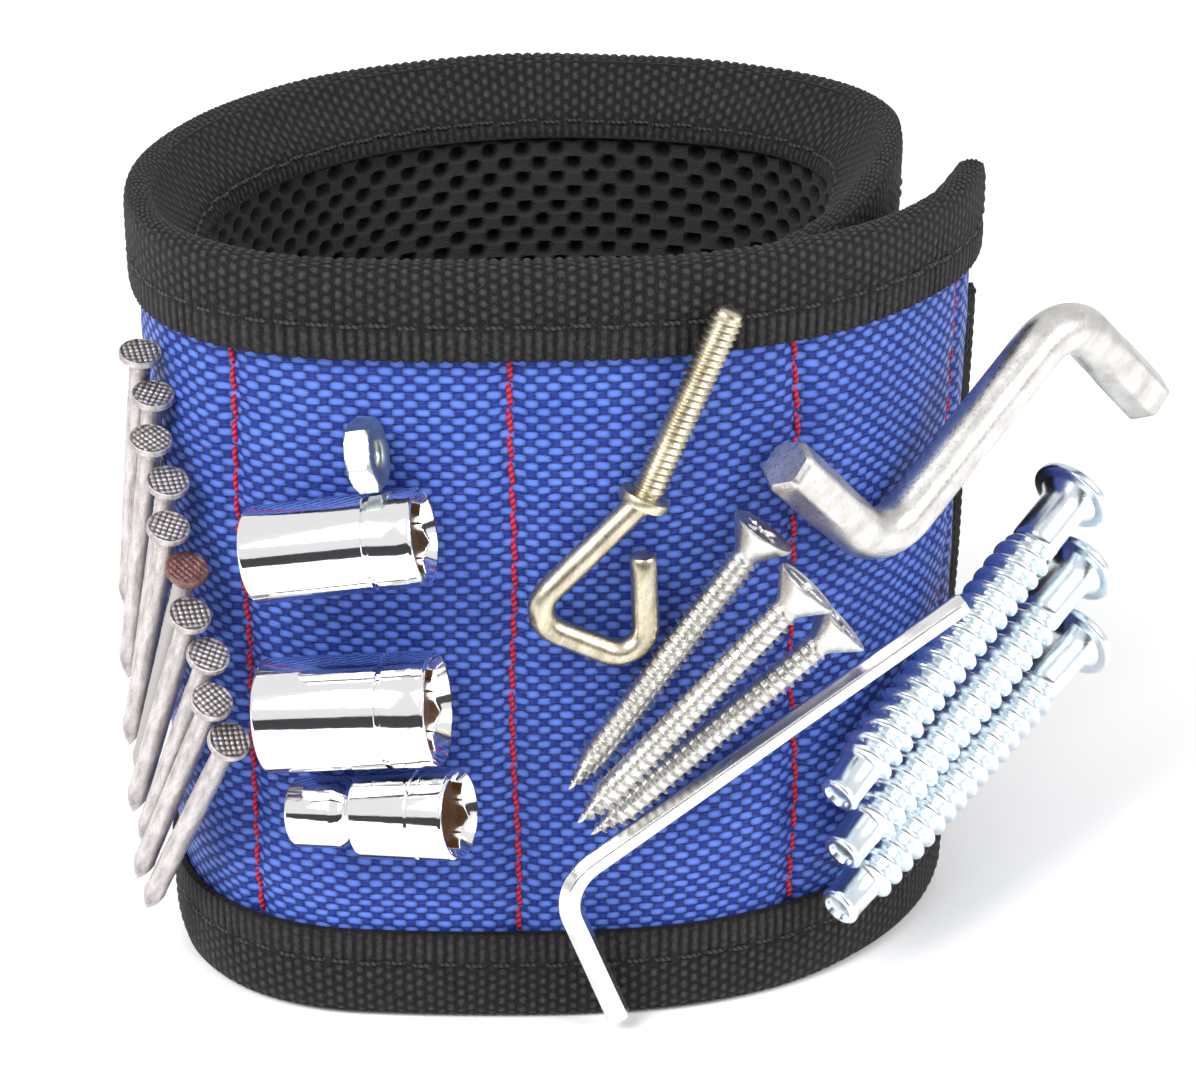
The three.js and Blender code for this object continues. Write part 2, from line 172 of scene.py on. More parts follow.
# ---- Meshes
def make_object(name, points, faces, material, **attributes):
    """A smooth-shaded mesh from points in millimetres, with its faces turned outwards."""
    mesh = bpy.data.meshes.new(name)
    mesh.from_pydata((np.asarray(points).reshape(-1, 3) * MM).tolist(), [], faces)
    shape = bmesh.new()
    shape.from_mesh(mesh)
    bmesh.ops.recalc_face_normals(shape, faces=shape.faces)
    shape.to_mesh(mesh)
    shape.free()
    for key, values in attributes.items():
        values = np.asarray(values, np.float32)
        if values.shape[-1] == 3:
            layer = mesh.attributes.new(key, "FLOAT_VECTOR", "POINT")
            layer.data.foreach_set("vector", values.ravel())
        else:
            layer = mesh.attributes.new(key, "FLOAT", "POINT")
            layer.data.foreach_set("value", values.ravel())
    mesh.materials.append(material)
    mesh.shade_smooth()
    mesh.set_sharp_from_angle(angle=radians(SHARP_EDGE))
    piece = bpy.data.objects.new(name, mesh)
    bpy.context.scene.collection.objects.link(piece)
    return piece


def angles_of(sides):
    return np.arange(sides) * TURN / sides


def tube_faces(rows, columns, first=0, closed=False):
    """Quads of a tube of rows rings with columns points each, and both its ends. A closed
    tube's last ring joins its first."""
    grid = first + np.arange(rows * columns).reshape(rows, columns)
    ends = [grid[0].tolist(), grid[-1].tolist()]
    if closed:
        grid = np.vstack([grid, grid[:1]])
        ends = []
    beside = np.roll(grid, -1, axis=1)
    quads = np.stack([grid[:-1], beside[:-1], beside[1:], grid[1:]], -1).reshape(-1, 4)
    return quads.tolist() + ends


def settle(piece, body, *nodes, slot=None):
    """The piece rides on a body and stands for CAD nodes. Its slot argument is not used."""
    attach(piece, body)
    if nodes:
        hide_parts(*nodes)


def outline(corners):
    """A closed outline's points. Each corner is (a, b, spacing up to the next corner).
    Gives the columns a, b, their outward direction, and the distance from the first corner."""
    points, run = [], []
    travelled = 0
    for (a, b, spacing), (next_a, next_b, _) in zip(corners, corners[1:] + corners[:1]):
        length = hypot(next_a - a, next_b - b)
        count = max(1, round(length / spacing))
        for step in range(count):
            t = step / count
            points.append((a + (next_a - a) * t, b + (next_b - b) * t))
            run.append(travelled + length * t)
        travelled += length
    points = np.array(points)
    ahead, behind = np.roll(points, -1, 0), np.roll(points, 1, 0)
    tangent = ahead - behind
    tangent /= np.linalg.norm(tangent, axis=1)[:, None]
    area = np.sum(points[:, 0] * ahead[:, 1] - ahead[:, 0] * points[:, 1])
    normal = np.stack([tangent[:, 1], -tangent[:, 0]], 1) * np.sign(area)
    return np.column_stack([points, normal, run])


def slab(near, far, foot, top, face, edge, back):
    """The outline of a flat layer between two distances, with the spacing of the points on its
    near face, its two edges and its far face."""
    return outline([(near, foot, face), (near, top, edge), (far, top, back),
                    (far, foot, edge)])


def skin(name, section, stations, place, relief, material):
    """A closed solid: the section carried through the stations, its surface raised by
    relief(station, distance round the section, a, b), which also gives the colour mask."""
    a, b, normal_a, normal_b, run = section.T
    station = np.asarray(stations, float)[:, None]
    height, mask = relief(station, run, a, b)
    height = np.broadcast_to(height, (len(stations), len(a)))
    mask = np.broadcast_to(mask, height.shape)
    points = place(station, a + normal_a * height, b + normal_b * height)
    across = np.broadcast_to(station, height.shape)
    cloth = np.stack([across, np.broadcast_to(b, height.shape), height], -1)
    faces = tube_faces(len(stations), len(a))
    return make_object(name, points, faces, material, relief=mask.ravel(),
                       cloth=cloth.reshape(-1, 3))


def along_band(station, out, up):
    """A point of a sewn layer: the long edges are pulled thin, towards the outer face."""
    depth = np.minimum(up, BAND_HEIGHT - up)
    share = RIM_THICKNESS + (1 - RIM_THICKNESS) * smooth(depth / RIM_REACH)
    return band_points(station, BINDING[1] - (BINDING[1] - out) * share, up)


# ---- Materials
class Look:
    """A material being built, with short ways to add its nodes."""

    def __init__(self, name, **surface):
        self.material = bpy.data.materials.new(name)
        self.material.use_nodes = True
        self.tree = self.material.node_tree
        self.shader = self.tree.nodes["Principled BSDF"]
        for key, value in surface.items():
            self.shader.inputs[key.replace("_", " ")].default_value = value

    def feed(self, socket, value):
        if isinstance(value, bpy.types.NodeSocket):
            self.tree.links.new(value, socket)
        else:
            socket.default_value = value

    def node(self, kind, inputs=(), **settings):
        node = self.tree.nodes.new(kind)
        for key, value in settings.items():
            setattr(node, key, value)
        for key, value in dict(inputs).items():
            self.feed(node.inputs[key], value)
        return node

    def math(self, operation, *values, clamp=False):
        node = self.node("ShaderNodeMath", operation=operation, use_clamp=clamp)
        for socket, value in zip(node.inputs, values):
            self.feed(socket, value)
        return node.outputs[0]

    def number(self, name):
        return self.node("ShaderNodeAttribute", attribute_name=name).outputs["Fac"]

    def stretch(self, vector, scale):
        inputs = {0: vector, 1: scale}
        return self.node("ShaderNodeVectorMath", inputs, operation="MULTIPLY").outputs[0]

    def place(self, name, scale=(1, 1, 1)):
        """The named place attribute, stretched by scale."""
        node = self.node("ShaderNodeAttribute", attribute_name=name)
        return self.stretch(node.outputs["Vector"], scale)

    def object_place(self):
        """The place on the object in millimetres."""
        node = self.node("ShaderNodeTexCoord")
        return self.stretch(node.outputs["Object"], (1 / MM, 1 / MM, 1 / MM))

    def noise(self, vector, scale, detail=2.0, roughness=0.5):
        inputs = {"Vector": vector, "Scale": scale, "Detail": detail, "Roughness": roughness}
        return self.node("ShaderNodeTexNoise", inputs).outputs["Fac"]

    def spread(self, value, low, high, to_low=0.0, to_high=1.0):
        inputs = {"Value": value, "From Min": low, "From Max": high,
                  "To Min": to_low, "To Max": to_high}
        return self.node("ShaderNodeMapRange", inputs).outputs["Result"]

    def mix(self, factor, first, second):
        node = self.node("ShaderNodeMix", data_type="RGBA")
        self.feed(node.inputs["Factor"], factor)
        for socket, colour in (("A", first), ("B", second)):
            slots = [s for s in node.inputs if s.name == socket and s.type == "RGBA"]
            self.feed(slots[0], colour if isinstance(colour, bpy.types.NodeSocket)
                      else (*colour, 1))
        return [s for s in node.outputs if s.type == "RGBA"][0]

    def cover(self, span, under, over):
        """The colour under, covered by the colour over where a value lies high in its span."""
        return self.mix(self.spread(*span), under, over)

    def bump(self, height, distance, strength):
        inputs = {"Height": height, "Distance": distance * MM, "Strength": strength}
        return self.node("ShaderNodeBump", inputs).outputs["Normal"]

    def finish(self, colour, roughness, normal=None):
        for key, value in (("Base Color", colour), ("Roughness", roughness), ("Normal", normal)):
            if value is not None:
                self.feed(self.shader.inputs[key], value)
        return self.material


def fabric(name, sheen, sheen_roughness, specular):
    return Look(name, Sheen_Weight=sheen, Sheen_Roughness=sheen_roughness,
                Specular_IOR_Level=specular)


def hump(look, place, centre, half_width):
    """A rounded ridge: 1 at the centre, falling to 0 half_width away."""
    away = look.math("DIVIDE", look.math("SUBTRACT", place, centre), half_width)
    return look.math("SQRT", look.math("SUBTRACT", 1.0, look.math("MULTIPLY", away, away),
                                       clamp=True))


def blue_ballistic_cloth():
    """Plain weave: floats along the band with yarns between them. Over the cloth's own blue, the
    floats' bright middles are a painted highlight, and the darker yarns and near-black gaps
    between them are painted shade.
    """
    float_pitch, row_pitch = 2.48, 0.89
    look = fabric("blue_ballistic_cloth", 0.0, 0.4, 0.13)
    cloth = look.place("cloth")
    wander = look.noise(cloth, 0.35, 2)
    parts = look.node("ShaderNodeSeparateXYZ", {0: cloth})
    rise = look.math("MULTIPLY_ADD", wander, 0.5, parts.outputs["Y"])
    rows = look.math("DIVIDE", rise, row_pitch)
    row = look.math("FLOOR", rows)
    half = look.math("MULTIPLY", look.math("PINGPONG", row, 1.0), 0.5)
    jitter = look.math("MULTIPLY_ADD", wander, 0.3, half)
    floats = look.math("FRACT", look.math("ADD", look.math(
        "DIVIDE", parts.outputs["X"], float_pitch), jitter))
    within = look.math("FRACT", rows)
    weft = look.math("MULTIPLY", hump(look, floats, 0.5, 0.36), hump(look, within, 0.5, 0.56))
    side = look.math("PINGPONG", floats, 0.5)
    warp = look.math("MULTIPLY", hump(look, side, 0.0, 0.2), hump(look, within, 0.5, 0.7))
    fibre = look.noise(look.place("cloth", (0.8, 9, 1)), 1.3, 2)
    height = look.math("MAXIMUM", weft, look.math("MULTIPLY", warp, 0.62))
    height = look.math("MULTIPLY_ADD", fibre, 0.22, height)
    # Painted shade: near-black in the gaps between the yarns, dark blue on the sunken warp.
    tint = look.cover((warp, 0.1, 0.95), (0.001, 0.002, 0.025), (0.009, 0.025, 0.2))
    # Painted highlight: the floats' bright blue, strongest at each float's middle, over the
    # cloth's own blue.
    tint = look.cover((weft, 0.35, 0.97), tint, (0.105, 0.195, 0.68))
    tint = look.cover((fibre, 0.45, 0.85, 0.0, 0.25), tint, (0.22, 0.36, 0.86))
    patches = look.noise(cloth, 0.12, 3)
    tint = look.cover((patches, 0.3, 0.7, 0.3, 0.0), tint, (0.004, 0.012, 0.12))
    gloss = look.spread(weft, 0.2, 1.0, 0.62, 0.36)
    return look.finish(tint, gloss, look.bump(height, 0.22, 0.9))


def webbing(name, low, high, thread=0.22):
    """Woven tape: the raised yarns come from the mesh, their filaments from a fine bump. The
    colour runs from low to high with the mesh's relief mask: low is painted shade between
    the yarns and in the stitch groove, high the yarns' own colour.
    """
    look = fabric(name, 0.04, 0.5, 0.2)
    fibre = look.noise(look.place("cloth", (7, 1.6, 7)), 1.6, 2)
    specks = look.noise(look.place("cloth"), 2.1, 2)
    # Low between the yarns: there the colour falls to painted shade.
    relief_shade = look.math("MULTIPLY", look.number("relief"), look.spread(specks, 0.2, 0.8, 0.6, 1.15))
    tint = look.cover((relief_shade, 0.42, 0.98), low, high)
    tint = look.cover((fibre, 0.45, 0.85, 0.0, 0.3), tint, tuple(h * 1.9 for h in high))
    rough = look.spread(fibre, 0.2, 0.8, 0.68, 0.92)
    return look.finish(tint, rough, look.bump(fibre, thread, 0.6))


def spacer_mesh():
    """Knitted mesh: ribs round holes; the holes' near-black is painted shade."""
    look = fabric("spacer_mesh", 0.06, 0.5, 0.2)
    knit = look.noise(look.place("cloth", (2.2, 5, 2)), 1.2, 2)
    mask = look.spread(look.number("relief"), 0.15, 0.95)
    # The first colour is painted shade on the hole floors, the second the ribs' own black.
    tint = look.mix(mask, (0.0015, 0.0013, 0.0015), (0.022, 0.02, 0.022))
    tint = look.cover((knit, 0.5, 0.9, 0.0, 0.35), tint, (0.05, 0.047, 0.05))
    return look.finish(tint, look.spread(knit, 0.2, 0.8, 0.75, 0.95), look.bump(knit, 0.3, 0.7))


def fuzzy_tape(name, colour):
    """Hook and loop fastener: a dull pile."""
    look = fabric(name, 0.1, 0.6, 0.2)
    pile = look.noise(look.object_place(), 2.4, 4, 0.7)
    tint = look.cover((pile, 0.3, 0.75), tuple(c * 0.3 for c in colour), colour)
    return look.finish(tint, look.spread(pile, 0.2, 0.8, 0.85, 1.0), look.bump(pile, 0.5, 0.8))


def sewing_thread(name, low, high):
    """Twisted thread: its low colour, in the grooves of the twist, is painted shade."""
    look = fabric(name, 0.05, 0.4, 0.3)
    parts = look.node("ShaderNodeSeparateXYZ", {0: look.place("local")})
    lay = look.math("MULTIPLY_ADD", parts.outputs["X"], 9.0, parts.outputs["Y"])
    twist = look.math("SINE", lay)
    fibre = look.noise(look.place("local", (3, 3, 3)), 1.5, 2)
    # low is painted shade in the twist's grooves, high the thread's own colour.
    tint = look.cover((twist, -0.9, 0.6), low, high)
    rough = look.spread(fibre, 0.3, 0.7, 0.45, 0.7)
    return look.finish(tint, rough, look.bump(twist, 0.09, 0.8))


def pale_foam():
    look = Look("foam_padding", Specular_IOR_Level=0.3)
    cells = look.noise(look.object_place(), 3.5, 3, 0.65)
    tint = look.cover((cells, 0.3, 0.7), (0.5, 0.48, 0.42), (0.78, 0.76, 0.7))
    return look.finish(tint, look.spread(cells, 0.2, 0.8, 0.8, 0.98), look.bump(cells, 0.3, 0.7))


def metal(name, colour, dark, rough, blotch=0.35, grain=(1, 1, 1), inside=None, wear=0.5,
          scale=1.0, bump=0.02):
    """Bare or plated metal: an uneven tint and gloss, fine marks, and a dull colour where the
    mask attribute is set: a socket's brown inside and the rusty nail's pale shaft, their own
    colours, and painted shade in the grooves of a nail's checkered head.
    """
    look = Look(name, Metallic=1.0)
    local = look.place("local", grain)
    patches = look.noise(local, 0.55 * scale, 4, 0.6)
    marks = look.noise(local, 5.0 * scale, 3, 0.6)
    tint = look.cover((patches, 0.38, 0.72, 0.0, blotch), colour, dark)
    tint = look.cover((marks, 0.56, 0.78, 0.0, wear), tint, dark)
    gloss = look.spread(marks, 0.3, 0.8, rough[0], rough[1])
    if inside:
        mask = look.number("mask")
        tint = look.mix(mask, tint, inside)
        gloss = look.math("MAXIMUM", gloss, look.math("MULTIPLY", mask, 0.55))
    return look.finish(tint, gloss, look.bump(marks, bump, 0.8))


def floor_paint():
    look = Look("floor_paint", Specular_IOR_Level=0.1)
    cloud = look.noise(look.object_place(), 0.004, 2)
    tint = look.cover((cloud, 0.3, 0.7), (0.93, 0.93, 0.935), (0.95, 0.95, 0.95))
    return look.finish(tint, look.spread(cloud, 0.3, 0.7, 0.85, 0.95))


CLOTH = blue_ballistic_cloth()
# In both webbings the first colour is painted shade between the yarns, the second the yarns' own
# colour.
WEBBING = webbing("black_webbing", (0.002, 0.0018, 0.0019), (0.05, 0.044, 0.045))
STRAP_WEBBING = webbing("strap_webbing", (0.002, 0.002, 0.002), (0.02, 0.019, 0.019))
SPACER = spacer_mesh()
TAPE = fuzzy_tape("hook_and_loop_tape", (0.02, 0.02, 0.021))
FOAM = pale_foam()
# Each thread's first colour is painted shade in the grooves of its twist.
RED_THREAD = sewing_thread("red_thread", (0.16, 0.003, 0.014), (0.6, 0.014, 0.05))
BLACK_THREAD = sewing_thread("black_thread", (0.003, 0.003, 0.003), (0.035, 0.031, 0.031))
MAGNET = metal("magnet_plating", (0.6, 0.61, 0.62), (0.3, 0.3, 0.31), (0.2, 0.4))
# The nail steel's third colour is painted shade in the grooves of the checkered heads.
NAIL = metal("nail_steel", (0.7, 0.66, 0.645), (0.2, 0.17, 0.16), (0.38, 0.6), 0.75,
             (0.2, 1, 1), (0.1, 0.08, 0.075), wear=0.8, scale=2, bump=0.06)
RUST = metal("rusty_steel", (0.36, 0.2, 0.18), (0.12, 0.05, 0.04), (0.5, 0.75), 0.8,
             (0.25, 1, 1), (0.5, 0.47, 0.46), wear=0.8, scale=2, bump=0.08)
CHROME = metal("polished_chrome", (0.93, 0.93, 0.94), (0.72, 0.72, 0.74), (0.04, 0.1), 0.12,
               (0.1, 1, 1), (0.5, 0.34, 0.2), wear=0.12, bump=0.004)
NUT_ZINC = metal("bright_zinc", (0.5, 0.55, 0.54), (0.26, 0.28, 0.28), (0.3, 0.48), 0.6)
YELLOW_ZINC = metal("yellow_zinc", (0.7, 0.65, 0.5), (0.24, 0.18, 0.11), (0.24, 0.45), 0.7,
                    (0.4, 1, 1), wear=0.6)
WHITE_ZINC = metal("white_zinc", (0.78, 0.77, 0.73), (0.38, 0.36, 0.33), (0.24, 0.42), 0.55)
BLUE_ZINC = metal("blue_zinc", (0.80, 0.87, 0.92), (0.45, 0.55, 0.62), (0.14, 0.3), 0.4)
DULL_ZINC = metal("dull_zinc", (0.72, 0.71, 0.69), (0.42, 0.39, 0.36), (0.24, 0.46), 0.75,
                  (0.6, 1, 1), wear=0.5, scale=0.8)
KEY_PLATING = metal("key_plating", (0.86, 0.86, 0.85), (0.45, 0.44, 0.42), (0.12, 0.3), 0.35,
                    (0.12, 1, 1), wear=0.35)


# ---- The band
def seam_at(number, up):
    """Where a seam runs at a height: a little slanted, and not quite straight."""
    lean = SEAM_SLANT[number] * (1 - up / BAND_HEIGHT)
    return SEAMS[number] - lean + 0.45 * ripple(up, 7.0 * number, 31, 40 + number)


def cloth_relief(along, up):
    """How far the blue cloth stands out from its flat layer."""
    clear = smooth((up - BINDING_DEPTH) / 6) * smooth((BAND_HEIGHT - BINDING_DEPTH - up) / 6)
    free = smooth((LOOP_LENGTH - 12 - along) / 10)
    foot = np.exp(-((up - 18) / 6) ** 2)
    height = 0.3 * ripple(along, up, 22, 3) + 0.1 * ripple(along, up, 8, 4)
    height = height * clear * free
    lines = [seam_at(number, up) for number in range(len(SEAMS))]
    for left, right in zip(lines, lines[1:]):
        t = np.clip((along - left) / (right - left), 0, 1)
        height = height + (0.34 + 0.3 * foot) * np.sqrt(np.sin(pi * t)) * clear
    for number, line in enumerate(lines):
        away = along - line
        pull = np.exp(-np.abs(away) / 2.6)
        height = height - 0.85 * np.exp(-(away / 1.25) ** 2)
        height = height + 0.16 * np.sin(TURN * up / 5.8 + number) * pull * clear
    return np.maximum(height, -0.7)


def build_shell():
    foot, top = LAYER_FOOT, BAND_HEIGHT - LAYER_FOOT
    section = slab(SHELL[1], SHELL[0], foot, top, 0.8, 1, 4)

    def relief(along, run, out, up):
        face = out > sum(SHELL) / 2
        height = np.where(face, cloth_relief(along, up), 0)
        return height, 1.0

    stations = np.linspace(0, LOOP_LENGTH, round(LOOP_LENGTH / 0.8) + 1)
    shell = skin("outer_shell_cloth", section, stations, along_band, relief, CLOTH)
    settle(shell, "band", "outer_shell")


def build_core():
    foot, top = LAYER_FOOT + 1, BAND_HEIGHT - LAYER_FOOT - 1
    section = slab(CORE[1], CORE[0], foot, top, 1.6, 1, 1.6)

    def relief(along, run, out, up):
        pockets = np.zeros(np.broadcast_shapes(along.shape, run.shape))
        for seam in SEAMS:
            pockets = pockets + np.exp(-((along - seam) / 1.6) ** 2)
        return -0.15 - 0.45 * pockets + 0.1 * ripple(along, up, 7, 12), 1.0

    stations = np.linspace(1, LOOP_LENGTH - 1, 220)
    core = skin("padding_foam", section, stations, along_band, relief, FOAM)
    settle(core, "band", "padding_core")


def build_lining():
    """Spacer mesh with rows of staggered holes on the wearer's side."""
    hole_pitch, row_pitch = 4.6, 1.85
    hole_width, hole_height, hole_depth = 2.0, 1.75, 1.25
    foot, top = LAYER_FOOT, BAND_HEIGHT - LAYER_FOOT
    section = slab(LINING[0], LINING[1], foot, top, row_pitch / 6, 1, 4)

    def relief(along, run, out, up):
        face = out < sum(LINING) / 2
        strayed = up + 0.35 * ripple(along, up, 40, 21)
        drift = along + 0.5 * ripple(along, up, 33, 22)
        row = np.round(strayed / row_pitch)
        start = hole_pitch / 2 * np.mod(row, 2)
        beside = drift - start - hole_pitch * np.round((drift - start) / hole_pitch)
        above = strayed - row * row_pitch
        away = np.hypot(beside / (hole_width / 2), above / (hole_height / 2))
        hole = smooth((1.3 - away) / 0.65)
        ridge = 0.25 * np.clip(away - 1, 0, 0.6)
        height = np.where(face, ridge - hole_depth * hole, 0)
        # 1 - hole is the colour mask: the hole floors take the spacer mesh's painted shade.
        return height, np.where(face, 1 - hole, 1)

    stations = np.arange(0, LOOP_LENGTH + 0.1, hole_pitch / 11)
    stations = np.append(stations[stations < LOOP_LENGTH - 0.2], LOOP_LENGTH)
    lining = skin("mesh_lining_knit", section, stations, along_band, relief, SPACER)
    settle(lining, "band", "mesh_lining")


RIB_PITCH = 1.12
YARN_PITCH = 1.33
STITCH_LINE = 3.9             # from a binding's free edge to its line of stitches


def weave_relief(along, run, rib_zone):
    """Raised yarns in columns, each column half a yarn off its neighbours; plain ribs where
    rib_zone is 1."""
    across = along + 0.16 * ripple(along, run, 19, 31)
    rise = run + 0.3 * ripple(along, run, 23, 32)
    column = np.floor(across / RIB_PITCH)
    ridge = np.abs(np.sin(pi * across / RIB_PITCH)) ** 0.65
    phase = rise / YARN_PITCH + 0.5 * np.mod(column, 2)
    yarn = np.abs(np.sin(pi * phase)) ** 0.65
    return ridge * (yarn * (1 - rib_zone) + rib_zone * (0.6 + 0.3 * yarn))


def fold_points():
    """The rounded fold of a tape, from its outer leg to its inner one."""
    count, half_width = 26, BINDING[1]
    points = []
    for k in range(1, count):
        angle = pi * k / count
        side = copysign(abs(cos(angle)) ** 0.75, cos(angle))
        points.append((half_width * side, FOLD_DEPTH * (1 - sin(angle) ** 0.75)))
    return points


def folded_tape(inner_leg, fine):
    """A folded tape in section, as (out, depth, spacing): the outer leg, the fold and the inner
    leg, and then back along the inside."""
    inner, outer = BINDING
    edge, coarse = 0.8, 2.0
    corners = [(outer, BINDING_DEPTH, fine), (outer, FOLD_DEPTH, fine)]
    corners += [(out, depth, fine) for out, depth in fold_points()]
    corners += [(-outer, FOLD_DEPTH, fine), (-outer, inner_leg, edge)]
    corners += [(-inner, inner_leg, coarse), (-inner, edge, coarse), (inner, edge, coarse),
                (inner, BINDING_DEPTH, edge)]
    return corners


def build_binding(name, from_edge, node):
    """A folded tape over an edge of the band; from_edge turns a depth into a height."""
    outer = BINDING[1]
    corners = folded_tape(INNER_LEG, YARN_PITCH / 4)
    section = outline([(out, from_edge(depth), spacing) for out, depth, spacing in corners])
    legs = BINDING_DEPTH + INNER_LEG - 2 * FOLD_DEPTH
    fold = [(outer, FOLD_DEPTH)] + fold_points() + [(-outer, FOLD_DEPTH)]
    bend = sum(dist(p, q) for p, q in zip(fold, fold[1:]))
    whole = legs + bend

    def relief(along, run, out, up):
        shown = run <= whole
        line = np.minimum(run, whole - run + BINDING_DEPTH - INNER_LEG) - STITCH_LINE
        rib_zone = smooth((0.3 - line) / 0.6)
        raised = weave_relief(along, run, rib_zone)
        groove = np.exp(-(line / 0.5) ** 2)
        selvedge = np.exp(-np.minimum(run, whole - run) / 0.5)
        height = 0.36 * raised - 0.16 - 0.16 * groove - 0.2 * selvedge
        height = height + 0.14 * ripple(along, run, 30, 33)
        height = height - 0.35 * np.exp(-np.minimum(up, BAND_HEIGHT - up) ** 2)
        # The colour mask is low between the yarns, in the stitch groove and along the sunken
        # free edges: painted shade in the webbing.
        mask = raised * (1 - 0.45 * groove) * (1 - 0.3 * selvedge)
        return np.where(shown, height, 0), np.where(shown, mask, 0.4)

    stations = np.arange(0, LOOP_LENGTH + 1, RIB_PITCH / 4)
    binding = skin(name, section, stations, along_band, relief, WEBBING)
    settle(binding, "band", node)


def build_tail_binding():
    """The tape over the tail's end, between the two long bindings."""
    end = LOOP_LENGTH + 1.1
    corners = folded_tape(BINDING_DEPTH, RIB_PITCH / 4)
    section = outline([(end - depth, out, spacing) for out, depth, spacing in corners])

    def relief(up, run, along, out):
        shown = np.abs(out) > sum(BINDING) / 2
        raised = weave_relief(up, run, 0.0)
        # raised is also the colour mask: the webbing paints shade between the yarns.
        return np.where(shown, 0.3 * raised - 0.16, 0), np.where(shown, raised, 0.6)

    def place(up, along, out):
        return along_band(along, out, up)

    clear = BINDING_DEPTH + 0.4
    stations = np.arange(clear, BAND_HEIGHT - clear, RIB_PITCH / 4)
    tape = skin("tail_end_tape", section, stations, place, relief, WEBBING)
    settle(tape, "band", "tail_end_binding")


# ---- Stitches
def stitches(name, runs, outward, radius, material):
    """Short lengths of thread lying on the cloth, their ends pulled in. Each run is the start
    and end of one stitch, and outward gives the way out of the cloth there."""
    sides, steps = 8, 9
    angles = angles_of(sides)
    points, faces, local = [], [], []
    for (start, end), out in zip(runs, outward):
        lie = end - start
        length = np.linalg.norm(lie)
        lie = lie / length
        side = np.cross(lie, out)
        for step in range(steps):
            t = step / (steps - 1)
            rise = sin(pi * t)
            centre = start + lie * length * t + out * radius * (1.21 * rise ** 0.5 - 1.0)
            reach = radius * (0.7 + 0.3 * rise ** 0.5)
            for angle in angles:
                spoke = out * sin(angle) + side * cos(angle)
                points.append(centre + spoke * reach)
                local.append((length * t, angle, len(faces)))
        faces += tube_faces(steps, sides, len(points) - steps * sides)
    return make_object(name, points, faces, material, local=np.array(local))


def outward_at(along):
    heading = float(loop_frames(along)[2])
    return np.array([-sin(heading), cos(heading), 0.0])


def build_pocket_seams():
    stitch, gap = 2.85, 0.08
    foot, top = BINDING_DEPTH - 0.4, BAND_HEIGHT - BINDING_DEPTH + 0.4
    count = round((top - foot) / (stitch + gap))
    pitch = (top - foot) / count
    for number, seam in enumerate(SEAMS):
        runs, outs = [], []
        for k in range(count):
            ends = []
            for up, slant in ((foot + k * pitch, -0.14), (foot + (k + 1) * pitch - gap, 0.14)):
                along = seam_at(number, up) + slant
                dip = cloth_relief(along, up)
                ends.append(along_band(along, SHELL[1] + dip + 0.12, up))
            runs.append(ends)
            outs.append(outward_at(seam))
        thread = stitches(f"pocket_seam_{number + 1}_thread", runs, outs, 0.3, RED_THREAD)
        settle(thread, "band", f"pocket_seam_{number + 1}")


def build_binding_stitches():
    """Lock stitches along both legs of both bindings."""
    stitch, gap = 2.6, 0.35
    depth = BINDING_DEPTH - STITCH_LINE
    rows = [(name, flip, up) for name, up in (("top", BAND_HEIGHT - depth), ("bottom", depth))
            for flip in (1, -1)]
    for name, flip, up in rows:
        runs, outs = [], []
        for start in np.arange(1.5, LOOP_LENGTH - 3, stitch + gap):
            ends = [along_band(start + shift, flip * (BINDING[1] - 0.05),
                               up + 0.12 * sin(start * 0.9))
                    for shift in (0, stitch)]
            runs.append(ends)
            outs.append(flip * outward_at(start + stitch / 2))
        side = "outer" if flip > 0 else "inner"
        thread = stitches(f"{name}_binding_{side}_stitches", runs, outs, 0.24, BLACK_THREAD)
        settle(thread, "band", slot="black_webbing")


# ---- The closure strap
def strap_route():
    """A smooth line through the strap's points in plan, from inside the flap to its end on the
    band: places, directions and distances."""
    middle, sewn_at = sum(STRAP) / 2, -4.0
    knots = [design_points(along, sewn_at, BAND_HEIGHT) for along in (9.0, 3.0)]
    knots += [np.array(p) for p in ((40, 38.8, 90), (45.2, 43.3, 90), (48.2, 50.2, 90))]
    knots += [design_points(along, middle, BAND_HEIGHT)
              for along in (241, 234, 227, 219, 211, 203, STRAP_FAR_END)]
    knots = [2 * knots[0] - knots[1]] + knots + [2 * knots[-1] - knots[-2]]
    line = []
    for p0, p1, p2, p3 in zip(knots, knots[1:], knots[2:], knots[3:]):
        d0, d1, d2 = (dist(p, q) ** 0.5 for p, q in ((p0, p1), (p1, p2), (p2, p3)))
        leave = ((p1 - p0) / d0 - (p2 - p0) / (d0 + d1) + (p2 - p1) / d1) * d1
        arrive = ((p2 - p1) / d1 - (p3 - p1) / (d1 + d2) + (p3 - p2) / d2) * d1
        for t in np.linspace(0, 1, 24, endpoint=False):
            line.append(p1 + leave * t + (3 * (p2 - p1) - 2 * leave - arrive) * t ** 2
                        + (2 * (p1 - p2) + leave + arrive) * t ** 3)
    line = np.array(line + [knots[-2]])[:, :2]
    distance = np.append(0, np.cumsum(np.linalg.norm(np.diff(line, axis=0), axis=1)))
    direction = np.gradient(line, distance, axis=0)
    return line, direction / np.linalg.norm(direction, axis=1)[:, None], distance


ROUTE, ROUTE_DIRECTION, ROUTE_DISTANCE = strap_route()


def route_at(distance):
    """The strap's x and y in plan, and its direction, at a distance along it."""
    columns = [*ROUTE.T, *ROUTE_DIRECTION.T]
    return [np.interp(distance, ROUTE_DISTANCE, column) for column in columns]


def strap_points(distance, out, up):
    x, y, dx, dy = route_at(distance)
    reach = out - WALL_LEAN * (1 - up / BAND_HEIGHT)
    parts = (x + reach * dy, y - reach * dx, up)
    return np.stack(np.broadcast_arrays(*parts), -1) + SHIFT


